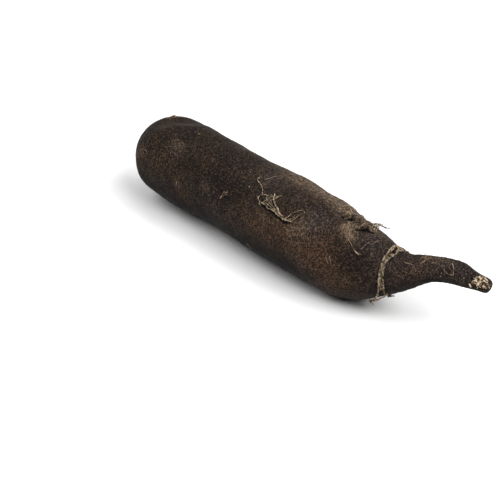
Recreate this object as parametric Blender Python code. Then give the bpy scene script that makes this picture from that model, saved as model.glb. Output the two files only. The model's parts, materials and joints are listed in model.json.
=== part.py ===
"""Long black radish: one swollen root with a bent tail, lying on its side, with two tangles of dried rootlets.

The model is in metres, with +Z up and +X from the crown to the tail. The origin is the middle of the
object's box, on the surface that the root lies on.
"""

import bmesh
import bpy
import numpy as np

MM = 0.001

# Driving sizes in millimetres. Each row is x, y, z and radius at one place on the root's centre line,
# with x from the crown, y away from the viewer and z above the surface.
SPINE = np.array([
    (-0.4, 5.6, 36.8, 29.0),  # crown
    (27.0, 1.6, 33.8, 31.0),  # shoulder
    (75.0, 2.8, 30.1, 30.6),
    (125.0, 3.0, 29.4, 30.8),  # thickest part of the body
    (170.0, 2.7, 29.0, 30.2),
    (203.0, 2.5, 27.7, 26.9),
    (224.0, 5.0, 30.3, 21.8),
    (240.5, 10.0, 32.4, 13.5),  # neck
    (258.0, 19.0, 38.4, 8.6),
    (276.0, 26.3, 39.3, 7.3),  # tail
    (296.6, 30.0, 38.1, 4.9),  # broken tip
])
BOX_MIDDLE = np.array([145.9, 2.7, 0.0])

# How far along the root its two ends round off, and how square the rounding is: 2 is an ellipse.
CROWN_ROUNDING = 34.0
CROWN_SQUARENESS = 2.4
TIP_ROUNDING = 5.0
TIP_SQUARENESS = 2.6

# The crown carries a low ring of leaf scars round a knobbly stub of trimmed leaf stalks.
SCAR_RADIUS = 9.5
SCAR_HEIGHT = 1.1
STUB_RADIUS = 5.6
STUB_HEIGHT = 2.5
STUB_LOBES = 5
STUB_LOBE_HEIGHT = 0.5
HEART_RADIUS = 2.6
HEART_DEPTH = 1.1

# Long swells of the body: height, lobes round the root, length of one swell along it, phase in degrees.
SWELLS = (
    (0.45, 1, 95.0, 20.0),
    (0.35, 2, 140.0, 200.0),
    (0.30, 3, 62.0, 80.0),
    (0.20, 5, 41.0, 310.0),
    (0.14, 4, 24.0, 130.0),
)
SWELL_FULL_RADIUS = 31.0

# Single humps and hollows: distance along the root, angle from the top (plus is the near side),
# half length along the root, half width round it, and height, which is negative for a hollow.
HUMPS = (
    (21.0, 2.0, 4.5, 4.0, 0.4),
    (52.0, -48.0, 15.0, 12.0, 0.8),
    (143.0, -42.0, 18.0, 10.0, 1.6),
    (176.0, -46.0, 10.0, 8.0, 0.9),
    (193.5, -15.0, 5.0, 3.6, 1.9),  # first side root's scar, a lip over a slit
    (200.0, -8.0, 4.2, 2.6, -1.7),
    (203.0, -22.0, 5.0, 3.6, 0.9),
    (211.5, -16.5, 6.0, 4.0, 1.9),  # second scar
    (216.0, -3.5, 4.6, 2.6, -1.8),
    (216.5, -24.0, 3.6, 3.6, 1.0),
    (222.0, 43.5, 3.0, 3.0, 0.6),  # the straight rootlet's foot
    (148.0, 38.0, 12.0, 6.0, 0.7),
    (100.0, 215.0, 22.0, 10.0, -0.8),
    (58.0, -95.0, 18.0, 12.0, 0.9),
    (238.0, 60.0, 7.0, 8.0, 0.5),
    (272.0, -40.0, 6.0, 5.0, 0.8),
    # shallow swellings and hollows along the outline that the photo shows
    (18.0, 4.0, 10.0, 14.0, -2.8),
    (29.0, -18.0, 11.0, 15.0, -2.6),
    (42.0, -34.0, 11.0, 12.0, 1.0),
    (14.0, 42.0, 8.0, 11.0, -0.8),
    (18.0, 84.0, 8.0, 12.0, 1.0),
    (23.0, 114.0, 9.0, 11.0, 2.2),
    (36.0, 130.0, 10.0, 10.0, 0.9),
    (62.0, 134.0, 13.0, 12.0, 0.6),
    (66.0, -46.0, 14.0, 12.0, -0.4),
    (97.0, 134.0, 18.0, 12.0, -1.2),
    (108.0, -47.0, 15.0, 12.0, -0.9),
    (128.0, 134.0, 13.0, 12.0, 0.5),
    (154.0, 134.0, 12.0, 11.0, -0.4),
    (160.0, -47.0, 11.0, 11.0, 0.4),
    (180.0, -47.0, 9.0, 11.0, 0.6),
    (196.0, -46.0, 9.0, 11.0, -0.6),
    (200.0, 132.0, 12.0, 12.0, 1.6),
    (276.0, 125.0, 8.0, 6.0, -0.5),
    (281.0, -30.0, 6.0, 5.0, 1.2),
    (292.0, 110.0, 6.0, 6.0, -0.5),
    (293.0, -30.0, 5.0, 5.0, -1.0),
    (298.0, 140.0, 5.0, 6.0, -0.6),
)

# The tail's end is broken off slantwise on its near side.
BREAK_DISTANCE = 300.0
BREAK_ANGLE = 46.0
BREAK_LENGTH = 7.5
BREAK_SPREAD = 62.0
BREAK_DEPTH = 1.7

# Rings along the root and sides round it, the share of the rings spent on each rounded end, and how
# much closer together the rings are at the crown's middle.
RINGS = 84
SIDES = 40
CROWN_RINGS = 0.2
TIP_RINGS = 0.06
CROWN_BIAS = 1.3

# A tangle is its own solid, this far off the skin that it lies on.
GAP = 0.45
ROOTLET_STEP = 2.5
TIP_THINNING = 0.45

# Rootlets are a radius, then places as distance, angle and height above the skin.
FLANK_ROOTLETS = (
    (0.90, ((143.8, 42.0, 0.3), (149.6, 45.3, 0.5), (154.9, 46.0, 0.3), (159.7, 47.0, 0.5),
            (166.0, 47.3, 0.3), (171.0, 45.8, 0.2))),
    (0.62, ((142.5, 41.5, 0.9), (139.5, 35.0, 1.1), (137.2, 33.3, 0.5), (133.9, 27.0, 0.9),
            (130.2, 23.3, 0.3), (125.2, 20.3, 0.9), (124.6, 15.0, 1.9))),
    (0.62, ((146.0, 43.4, 0.4), (141.5, 44.3, 0.9), (138.8, 43.0, 0.5), (137.0, 39.3, 1.2),
            (138.8, 35.0, 0.6), (142.8, 33.6, 1.0), (146.3, 31.6, 0.4))),
    (0.66, ((167.5, 47.0, 0.4), (161.5, 45.6, 0.9), (156.2, 41.3, 0.6), (151.1, 36.0, 0.9),
            (148.6, 32.0, 0.4), (148.4, 26.3, 1.7))),
    (0.58, ((156.9, 45.7, 0.5), (152.1, 42.3, 1.0), (147.6, 40.6, 0.5), (143.0, 37.5, 1.0),
            (141.2, 34.2, 0.5))),
    (0.52, ((150.4, 34.9, 0.5), (150.8, 31.7, 0.9), (151.5, 27.0, 0.5), (154.3, 25.6, 1.5))),
    (0.56, ((165.0, 46.8, 0.4), (166.8, 41.0, 1.0), (168.1, 34.0, 0.5), (169.6, 29.0, 1.1),
            (173.2, 25.9, 0.5))),
    (0.52, ((168.0, 47.3, 0.4), (170.4, 41.0, 1.0), (171.6, 34.0, 0.4), (174.2, 30.6, 1.2))),
)
SHOULDER_ROOTLETS = (
    (0.80, ((203.5, -28.0, 0.8), (208.0, -30.0, 0.7), (211.5, -34.5, 1.2), (214.0, -41.0, 3.0),
            (217.0, -44.5, 4.4), (221.5, -47.0, 5.0))),
    (0.62, ((210.0, -32.0, 0.9), (214.0, -30.5, 1.6), (219.0, -28.0, 0.9), (222.0, -21.0, 0.7))),
    (0.55, ((211.0, -34.0, 0.9), (216.5, -35.0, 1.5), (221.5, -36.0, 2.8))),
    (0.55, ((206.5, -29.0, 0.8), (205.0, -34.0, 1.2), (201.0, -37.5, 1.7))),
)

# The neck's band is a flat braid: its middle line is distance, angle and half width, and each strand is
# a radius, the share of the half width that it swings over, and where it starts in its swing. The
# strands that swing over the full width first lie apart round an eye.
BAND_LINE = (
    (255.0, -88.0, 1.0), (251.5, -66.0, 1.3), (246.0, -42.0, 2.4), (242.3, -22.0, 3.6),
    (240.2, -8.0, 3.4), (239.1, 7.0, 2.7), (238.4, 21.0, 2.2), (237.3, 34.0, 1.8), (236.2, 46.0, 1.4),
    (235.6, 60.0, 1.1), (235.8, 75.0, 1.0), (236.0, 90.0, 1.2), (235.5, 107.0, 1.6),
    (234.6, 121.0, 2.0), (234.3, 136.0, 1.8), (235.0, 152.0, 1.2),
)
BAND_STRANDS = ((0.72, 1.0, 0.0), (0.72, 1.0, 180.0), (0.62, 0.42, 90.0), (0.58, 0.42, 270.0))
BAND_EYE_END = 24.0
BAND_SWING = 82.0
BAND_LIFT = 0.8
BAND_ENDS = (
    (0.58, ((234.2, 127.0, 0.5), (231.0, 136.0, 0.8), (227.8, 141.0, 0.7), (224.5, 142.0, 1.6))),
    (0.55, ((231.6, 134.0, 0.7), (228.8, 141.0, 1.4), (227.5, 148.0, 4.0), (228.0, 151.0, 7.0))),
    (0.50, ((229.5, 139.0, 0.9), (226.2, 145.0, 2.8), (224.6, 147.0, 5.6))),
)

# Single rootlets that grow out of the skin, in one solid with the root.
LONE_ROOTLETS = (
    (0.70, ((222.5, 43.5, -1.6), (220.5, 39.9, 0.9), (216.5, 33.6, 0.4), (212.6, 27.3, 0.9))),
    (0.60, ((104.5, 67.5, -1.4), (106.2, 63.0, 0.7), (107.4, 55.0, 1.9))),
    (0.55, ((255.6, 37.5, -1.2), (253.8, 35.0, 0.5), (250.0, 30.0, 0.7))),
    (0.60, ((257.2, 39.5, -1.2), (259.6, 32.0, 0.6), (261.8, 23.0, 0.4), (262.9, 8.0, 0.7),
            (266.5, -6.0, 1.1))),
    (0.50, ((276.2, 8.0, -1.2), (277.1, 18.0, 0.6), (278.6, 36.0, 0.4), (279.3, 56.0, 0.8))),
    (0.50, ((280.2, 63.5, -1.2), (277.8, 61.5, 0.6), (274.4, 58.5, 0.5), (272.5, 45.0, 0.9))),
    (0.70, ((237.6, 138.0, -1.4), (238.6, 144.0, 0.9), (240.5, 148.0, 1.9))),
    (0.60, ((85.0, -70.0, -1.5), (88.0, -76.0, 0.8), (95.0, -80.0, 1.1))),
    (0.60, ((178.0, -82.0, -1.5), (182.0, -88.0, 0.8), (188.0, -90.0, 1.8))),
    (0.60, ((66.0, -118.0, -1.5), (63.0, -124.0, 0.9), (58.0, -126.0, 1.3))),
)

SKIN_COLOUR = "#2E2520"
ROOTLET_COLOUR = "#8C775B"
CURVE_SIDES_RESOLUTION = 1  # gives a curve's round bevel six sides


def smooth_step(value):
    """0 below 0, 1 above 1, and a smooth rise between them."""
    t = np.clip(value, 0.0, 1.0)
    return t * t * (3.0 - 2.0 * t)


def through(points, at, where):
    """A smooth curve through points, known at the values in at, read at the values in where."""
    gaps = np.diff(at)
    chords = np.diff(points, axis=0) / gaps[:, None]
    slopes = np.empty_like(points)
    weighted = chords[:-1] * gaps[1:, None] + chords[1:] * gaps[:-1, None]
    slopes[1:-1] = weighted / (gaps[1:] + gaps[:-1])[:, None]
    slopes[0] = 1.5 * chords[0] - 0.5 * slopes[1]
    slopes[-1] = 1.5 * chords[-1] - 0.5 * slopes[-2]
    i = np.clip(np.searchsorted(at, where, side="right") - 1, 0, len(gaps) - 1)
    h = gaps[i][:, None]
    t = (where - at[i])[:, None] / h
    return (
        (1 + 2 * t) * (1 - t) ** 2 * points[i]
        + t * (1 - t) ** 2 * h * slopes[i]
        + t * t * (3 - 2 * t) * points[i + 1]
        + t * t * (t - 1) * h * slopes[i + 1]
    )


def lengths_along(points):
    """The distance from the first point to each point, along straight steps."""
    steps = np.linalg.norm(np.diff(points, axis=0), axis=1)
    return np.concatenate([[0.0], np.cumsum(steps)])


SPINE_AT = lengths_along(SPINE[:, :3])
ROOT_LENGTH = SPINE_AT[-1]


def unit(vectors):
    """Each row made one long."""
    return vectors / np.linalg.norm(vectors, axis=1)[:, None]


def spine_frame(distance):
    """The centre line's point, its radius, and the forward, near-side and upward directions there."""
    nudge = 0.2
    here = through(SPINE, SPINE_AT, distance)
    ahead = through(SPINE, SPINE_AT, np.minimum(distance + nudge, ROOT_LENGTH))
    behind = through(SPINE, SPINE_AT, np.maximum(distance - nudge, 0.0))
    forward = unit((ahead - behind)[:, :3])
    near = unit(np.cross(forward, (0.0, 0.0, 1.0)))
    return here[:, :3], here[:, 3], forward, near, np.cross(near, forward)


def end_rounding(distance):
    """The share of its full radius that the root has at each distance: 0 at both ends."""
    into_crown = 1.0 - np.clip(distance / CROWN_ROUNDING, 0.0, 1.0)
    into_tip = 1.0 - np.clip((ROOT_LENGTH - distance) / TIP_ROUNDING, 0.0, 1.0)
    crown = (1.0 - into_crown**CROWN_SQUARENESS) ** (1.0 / CROWN_SQUARENESS)
    return crown * (1.0 - into_tip**TIP_SQUARENESS) ** (1.0 / TIP_SQUARENESS)


def turn_between(angle, middle):
    """The turn from middle to angle, in degrees, from -180 to 180."""
    return (angle - middle + 180.0) % 360.0 - 180.0


def relief(distance, angle, radius):
    """How far the skin stands out from its round section, in millimetres."""
    height = np.zeros_like(distance)
    for swell, lobes, length, phase in SWELLS:
        around = np.radians(lobes * angle + phase)
        height += swell * np.cos(around + 2 * np.pi * distance / length)
    height *= np.minimum(radius / SWELL_FULL_RADIUS, 1.0)
    for along, middle, half_length, half_width, hump in HUMPS:
        across = np.radians(turn_between(angle, middle)) * radius
        height += hump * np.exp(-((distance - along) / half_length) ** 2 - (across / half_width) ** 2)
    broken = smooth_step((distance - BREAK_DISTANCE + BREAK_LENGTH) / BREAK_LENGTH)
    facing = np.clip(1.0 - np.abs(turn_between(angle, BREAK_ANGLE)) / BREAK_SPREAD, 0.0, 1.0)
    return height - BREAK_DEPTH * broken * smooth_step(facing)


def crown_relief(ring_radius, angle, distance):
    """How far the crown's leaf scars and stalk stub stand out along the root's own axis."""
    scars = SCAR_HEIGHT * smooth_step((SCAR_RADIUS - ring_radius) / 2.5)
    lobes = STUB_LOBE_HEIGHT * np.cos(np.radians(STUB_LOBES * angle))
    stub = (STUB_HEIGHT + lobes) * smooth_step((STUB_RADIUS - ring_radius) / 2.2)
    heart = (HEART_DEPTH + lobes) * smooth_step((HEART_RADIUS - ring_radius) / HEART_RADIUS)
    return np.where(distance < CROWN_ROUNDING, scars + stub - heart, 0.0)


def skin(distance, angle):
    """Points on the skin at distance along the root and angle in degrees from its top."""
    centre, radius, forward, near, up = spine_frame(distance)
    rounding = end_rounding(distance)
    ring = (radius + relief(distance, angle, radius)) * rounding
    turn = np.radians(angle)[:, None]
    points = centre + ring[:, None] * (np.cos(turn) * up + np.sin(turn) * near)
    points -= forward * crown_relief(radius * rounding, angle, distance)[:, None]
    points[:, 2] = np.maximum(points[:, 2], 0.0)  # the belly's small flat spot
    return points - BOX_MIDDLE


def above_skin(distance, angle, height):
    """Points at a height above the skin, along its own outward direction."""
    step, turn = 0.5, 1.0
    along = skin(distance + step, angle) - skin(distance - step, angle)
    around = skin(distance, angle + turn) - skin(distance, angle - turn)
    return skin(distance, angle) + unit(np.cross(around, along)) * height[:, None]


def ring_distance(share):
    """The distance along the root of a ring, for its share of the rings, closer together at the ends."""
    crown = np.sin(np.pi / 2 * np.clip(share / CROWN_RINGS, 0.0, 1.0) ** CROWN_BIAS)
    crown_gone = 1.0 - (1.0 - crown**CROWN_SQUARENESS) ** (1.0 / CROWN_SQUARENESS)
    tip = np.sin(np.pi / 2 * np.clip((1.0 - share) / TIP_RINGS, 0.0, 1.0))
    tip_gone = 1.0 - (1.0 - tip**TIP_SQUARENESS) ** (1.0 / TIP_SQUARENESS)
    middle = np.clip((share - CROWN_RINGS) / (1.0 - CROWN_RINGS - TIP_RINGS), 0.0, 1.0)
    straight = ROOT_LENGTH - CROWN_ROUNDING - TIP_ROUNDING
    return CROWN_ROUNDING * crown_gone + straight * middle + TIP_ROUNDING * (1.0 - tip_gone)


def material(name, colour, roughness):
    """A plain Principled material from an sRGB hex colour."""
    channels = [int(colour[k : k + 2], 16) / 255 for k in (1, 3, 5)]
    linear = [c / 12.92 if c <= 0.04045 else ((c + 0.055) / 1.055) ** 2.4 for c in channels]
    made = bpy.data.materials.new(name)
    made.use_nodes = True
    shader = made.node_tree.nodes["Principled BSDF"]
    shader.inputs["Base Color"].default_value = (*linear, 1.0)
    shader.inputs["Roughness"].default_value = roughness
    shader.inputs["Metallic"].default_value = 0.0
    return made


def collection(name):
    """A new collection in the scene."""
    made = bpy.data.collections.new(name)
    bpy.context.scene.collection.children.link(made)
    return made


def root_body():
    """The root as a sphere whose rings are moved onto the skin."""
    ball = bmesh.new()
    bmesh.ops.create_uvsphere(ball, u_segments=SIDES, v_segments=RINGS, radius=1.0)
    mesh = bpy.data.meshes.new("taproot")
    ball.to_mesh(mesh)
    ball.free()
    places = np.empty(len(mesh.vertices) * 3)
    mesh.vertices.foreach_get("co", places)
    x, y, z = places.reshape(-1, 3).T
    share = np.arccos(np.clip(z, -1.0, 1.0)) / np.pi
    points = skin(ring_distance(share), np.degrees(np.arctan2(y, x)))
    mesh.vertices.foreach_set("co", (points * MM).ravel())
    mesh.shade_smooth()
    return bpy.data.objects.new("taproot", mesh)


def rootlet_places(places):
    """Even steps along a smooth line through places, each a distance, an angle and a height."""
    coarse = np.array(places)
    arc = lengths_along(above_skin(*coarse.T))
    count = max(4, int(round(arc[-1] / ROOTLET_STEP)) + 1)
    return through(coarse, arc, np.linspace(0.0, arc[-1], count))


def tube(name, centres, radius):
    """A rootlet as a closed mesh: a curve with a round bevel that thins towards its end."""
    line = bpy.data.curves.new(name, "CURVE")
    line.dimensions = "3D"
    line.bevel_depth = MM
    line.bevel_resolution = CURVE_SIDES_RESOLUTION
    line.use_fill_caps = True
    spline = line.splines.new("POLY")
    spline.points.add(len(centres) - 1)
    spline.points.foreach_set("co", np.c_[centres * MM, np.ones(len(centres))].ravel())
    along = np.linspace(0.0, 1.0, len(centres))
    spline.points.foreach_set("radius", radius * (1.0 - TIP_THINNING * along**2))
    curve = bpy.data.objects.new(name, line)
    bpy.context.scene.collection.objects.link(curve)
    bpy.context.view_layer.update()
    evaluated = curve.evaluated_get(bpy.context.evaluated_depsgraph_get())
    mesh = bpy.data.meshes.new_from_object(evaluated)
    closed = bmesh.new()
    closed.from_mesh(mesh)
    bmesh.ops.remove_doubles(closed, verts=closed.verts, dist=1e-6)
    bmesh.ops.recalc_face_normals(closed, faces=closed.faces)
    closed.to_mesh(mesh)
    closed.free()
    bpy.data.objects.remove(curve)
    return bpy.data.objects.new(name, mesh)


def rootlets(name, table, clearance):
    """Each row of a table as a rootlet. With a clearance, its underside is at the heights plus that."""
    made = []
    for k, (radius, places) in enumerate(table):
        distance, angle, height = rootlet_places(places).T
        lift = clearance + radius if clearance else 0.0
        made.append(tube(f"{name}_{k}", above_skin(distance, angle, height + lift), radius))
    return made


def band_strand(name, radius, share, start):
    """One strand of the neck's braid, swinging over the braid's width and over its neighbours."""
    line = np.array(BAND_LINE)
    arc = lengths_along(above_skin(line[:, 0], line[:, 1], np.full(len(line), GAP)))
    count = int(round(arc[-1] / ROOTLET_STEP)) + 1
    distance, angle, half_width = through(line, arc, np.linspace(0.0, arc[-1], count)).T
    turned = angle - angle[0] if share < 1.0 else np.maximum(angle - BAND_EYE_END, 0.0)
    swing = np.radians(start + 360.0 * turned / BAND_SWING)
    height = GAP + radius + BAND_LIFT * (0.5 + 0.5 * np.sin(swing))
    centres = above_skin(distance + share * half_width * np.cos(swing), angle, height)
    return tube(name, centres, radius)


def fill_pockets(mesh):
    """Removes the walls of a pocket closed in between strands, which leaves the solid filled there."""
    solid = bmesh.new()
    solid.from_mesh(mesh)
    unseen = set(solid.faces)
    while unseen:
        wall, edge_of_search = set(), [unseen.pop()]
        while edge_of_search:
            face = edge_of_search.pop()
            wall.add(face)
            beside = {other for edge in face.edges for other in edge.link_faces} & unseen
            unseen -= beside
            edge_of_search += beside
        # Walls that face into their own middle hold a pocket, so their signed volume is below zero.
        volume = sum(face.calc_center_median().dot(face.normal) * face.calc_area() for face in wall)
        if volume < 0.0:
            bmesh.ops.delete(solid, geom=list(wall), context="FACES")
    solid.to_mesh(mesh)
    solid.free()


def fused(name, pieces, home, finish):
    """One solid from overlapping pieces, joined by a Boolean union and put in its collection."""
    base, *others = pieces
    base.name = name
    base.data.name = name
    home.objects.link(base)
    joining = collection("joining")
    for other in others:
        joining.objects.link(other)
    union = base.modifiers.new("union", "BOOLEAN")
    union.operation = "UNION"
    union.operand_type = "COLLECTION"
    union.collection = joining
    union.solver = "EXACT"
    bpy.context.view_layer.update()
    evaluated = base.evaluated_get(bpy.context.evaluated_depsgraph_get())
    mesh = bpy.data.meshes.new_from_object(evaluated)
    base.modifiers.clear()
    base.data = mesh
    for other in others:
        bpy.data.objects.remove(other)
    bpy.data.collections.remove(joining)
    fill_pockets(mesh)
    mesh.materials.clear()
    mesh.materials.append(finish)
    return base


def main():
    """Clears the scene and builds the radish."""
    for obj in list(bpy.data.objects):
        bpy.data.objects.remove(obj)
    home = collection("black_radish")
    skin_finish = material("black_radish_skin", SKIN_COLOUR, 0.8)
    rootlet_finish = material("dried_rootlet", ROOTLET_COLOUR, 0.9)
    root = [root_body(), *rootlets("lone", LONE_ROOTLETS, 0.0)]
    flank = rootlets("flank", FLANK_ROOTLETS, GAP)
    shoulder = rootlets("shoulder", SHOULDER_ROOTLETS, GAP)
    neck = [band_strand(f"strand_{k}", *strand) for k, strand in enumerate(BAND_STRANDS)]
    neck += rootlets("band_end", BAND_ENDS, GAP)
    fused("taproot", root, home, skin_finish)
    fused("flank_rootlets", flank, home, rootlet_finish)
    fused("shoulder_rootlets", shoulder, home, rootlet_finish)
    fused("neck_rootlets", neck, home, rootlet_finish)


main()
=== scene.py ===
"""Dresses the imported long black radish: corky skin, knotted scars, torn tip and dried rootlets.

Lengths are millimetres until a mesh is made. A place on the root is its distance from the crown along
the root's centre line and its angle round it in degrees: 0 is the top, 90 the near side, 180 the belly
and -90 the far side. A third number is its height over the skin.
"""

import json
import logging
import math
from dataclasses import dataclass, field
from enum import Enum

import bpy
import numpy as np
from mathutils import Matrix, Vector

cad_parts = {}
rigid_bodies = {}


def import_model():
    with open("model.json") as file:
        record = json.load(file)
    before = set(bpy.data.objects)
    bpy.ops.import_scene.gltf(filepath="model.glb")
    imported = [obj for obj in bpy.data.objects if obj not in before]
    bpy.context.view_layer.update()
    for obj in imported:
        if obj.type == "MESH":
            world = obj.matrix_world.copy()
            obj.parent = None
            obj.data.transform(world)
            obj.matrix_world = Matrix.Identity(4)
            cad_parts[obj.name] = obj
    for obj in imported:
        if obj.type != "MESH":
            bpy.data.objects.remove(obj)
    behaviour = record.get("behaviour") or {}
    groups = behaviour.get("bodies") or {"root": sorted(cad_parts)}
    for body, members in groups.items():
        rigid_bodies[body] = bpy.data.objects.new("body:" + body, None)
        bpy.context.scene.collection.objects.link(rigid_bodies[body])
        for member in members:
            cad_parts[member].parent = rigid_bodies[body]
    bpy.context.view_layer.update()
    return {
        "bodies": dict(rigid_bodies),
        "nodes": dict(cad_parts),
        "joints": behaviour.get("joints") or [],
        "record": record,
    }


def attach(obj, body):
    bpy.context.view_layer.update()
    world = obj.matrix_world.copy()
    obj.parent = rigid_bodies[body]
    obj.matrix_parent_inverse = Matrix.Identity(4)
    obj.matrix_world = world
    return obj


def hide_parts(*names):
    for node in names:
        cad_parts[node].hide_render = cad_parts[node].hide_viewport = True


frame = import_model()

Array = np.ndarray
Places = tuple[tuple[float, ...], ...]
Socket = bpy.types.NodeSocket
Value = float | tuple[float, ...] | str | Socket | None

log = logging.getLogger("black_radish")
MM = 0.001
TURN = 2 * np.pi


def table(text: str) -> Places:
    """Rows of numbers from a text, with a comma after each row and spaces between its numbers."""
    return tuple(tuple(map(float, row.split())) for row in text.split(","))


def strokes(text: str) -> list[tuple]:
    """Reads lines on the skin from a text.

    Args:
        text: Entries such as ".4 2: 126 15 1, 125 16 1.5;", with sizes before the colon and places
            after it. A # starts a note that ends with its row.

    Returns:
        For each entry its places, and then its sizes.
    """
    bare = " ".join(row.split("#")[0] for row in text.splitlines())
    parts = (entry.partition(":") for entry in bare.split(";")[:-1])
    return [(table(places), *map(float, sizes.split())) for sizes, _, places in parts]


def smooth_step(value: Array) -> Array:
    """0 below 0, 1 above 1, and between them three times the square less twice the cube."""
    t = np.clip(value, 0.0, 1.0)
    return t * t * (3.0 - 2.0 * t)


def bell(value: Array, width: float, middle: float = 0.0) -> Array:
    """A bell curve, which is 1 at its middle and about a third one width away."""
    return np.exp(-(((value - middle) / width) ** 2))


def unit(vectors: Array) -> Array:
    """Each vector of the last axis made one long."""
    return vectors / np.maximum(np.linalg.norm(vectors, axis=-1, keepdims=True), 1e-12)


def sums(steps: Array) -> Array:
    """0, and then the running sum of the steps."""
    return np.concatenate([[0.0], np.cumsum(steps)])


def lengths_along(points: Array) -> Array:
    """The distance from the first point to each point, along straight steps."""
    return sums(np.linalg.norm(np.diff(points, axis=0), axis=1))


def capped(ends: Array, middle: Array) -> Array:
    """Rows with a first and a last one put before and after them."""
    return np.concatenate([ends[:1], middle, ends[1:]])


def through(points: Array, at: Array, where: Array) -> Array:
    """A smooth curve through points: on each gap, the cubic with the ends' places and slopes.

    Args:
        points: One row for each known point.
        at: The values at which the points are known, rising.
        where: The values to read the curve at.

    Returns:
        One row for each value of where.
    """
    gaps = np.diff(at)
    chords = np.diff(points, axis=0) / gaps[:, None]
    slopes = np.concatenate([chords[:1], chords])
    weighted = chords[:-1] * gaps[1:, None] + chords[1:] * gaps[:-1, None]
    slopes[1:-1] = weighted / (gaps[1:] + gaps[:-1])[:, None]
    slopes[0] = 1.5 * chords[0] - 0.5 * slopes[1]
    slopes[-1] = 1.5 * chords[-1] - 0.5 * slopes[-2]
    i = np.clip(np.searchsorted(at, where, side="right") - 1, 0, len(gaps) - 1)
    h = gaps[i][:, None]
    t = (where - at[i])[:, None] / h
    return (
        (1 + 2 * t) * (1 - t) ** 2 * points[i]
        + t * (1 - t) ** 2 * h * slopes[i]
        + t * t * (3 - 2 * t) * points[i + 1]
        + t * t * (t - 1) * h * slopes[i + 1]
    )


class Lattice:
    """Smooth random values in space, from a block of random numbers that repeats."""

    SIDE = 40

    def __init__(self, seed: int) -> None:
        """Draws the block from a seed."""
        self.block = np.random.default_rng(seed).uniform(-1.0, 1.0, (self.SIDE,) * 3)

    def at(self, points: Array, spacing: float) -> Array:
        """Blends the eight numbers round each point, smoothly along each axis.

        Args:
            points: Points along the last axis.
            spacing: The distance from one random number to the next.

        Returns:
            A value from -1 to 1 for each point.
        """
        scaled = points / spacing
        low = np.floor(scaled).astype(int)
        blend = smooth_step(scaled - low)
        total = np.zeros(points.shape[:-1])
        for corner in np.ndindex(2, 2, 2):
            take = corner[::-1]
            x, y, z = np.moveaxis((low + take) % self.SIDE, -1, 0)
            share = np.where(take, blend, 1.0 - blend)
            total += self.block[x, y, z] * share[..., 0] * share[..., 1] * share[..., 2]
        return total

    def layered(self, points: Array, spacing: float, layers: int = 3) -> Array:
        """Sums layers of values, each at half the spacing and half the height of the last.

        Args:
            points: Points along the last axis.
            spacing: The first layer's spacing.
            layers: How many there are.

        Returns:
            A value of about -1 to 1 for each point.
        """
        total = np.zeros(points.shape[:-1])
        for layer in range(layers):
            total += self.at(points + 17.3 * layer, spacing / 2**layer) / 2**layer
        return total / (2.0 - 2.0 ** (1 - layers))

    def moves(self, points: Array, spacing: float, apart: float) -> Array:
        """A smooth random vector for each point, whose parts are read at places apart from each other."""
        return np.stack([self.at(points + apart * axis, spacing) for axis in range(3)], axis=-1)


class Seed(Enum):
    """The seeds of the random draws, one for each use."""

    SKIN = 11
    PATCHES = 12
    FLESH = 13
    FIBRES = 14
    TANGLES = 15
    STALKS = 16


def turn_between(angle: Array, middle: float) -> Array:
    """The turn from middle to angle, in degrees, from -180 to 180."""
    return (angle - middle + 180.0) % 360.0 - 180.0


def patch(radius: Array, distance: Array, angle: Array, row: tuple[float, ...]) -> Array:
    """A soft oval patch on the skin: a bell curve of the distance from its middle.

    Args:
        radius: The root's radius at each place.
        distance: Distances along the root.
        angle: Angles round it.
        row: The patch's distance, angle, half length, half width and strength.

    Returns:
        The patch's strength at each place.
    """
    middle, turn, half_length, half_width, strength = row
    along = (distance - middle) / half_length
    across = np.radians(turn_between(angle, turn)) * radius / half_width
    return strength * np.exp(-(along**2) - across**2)


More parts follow.
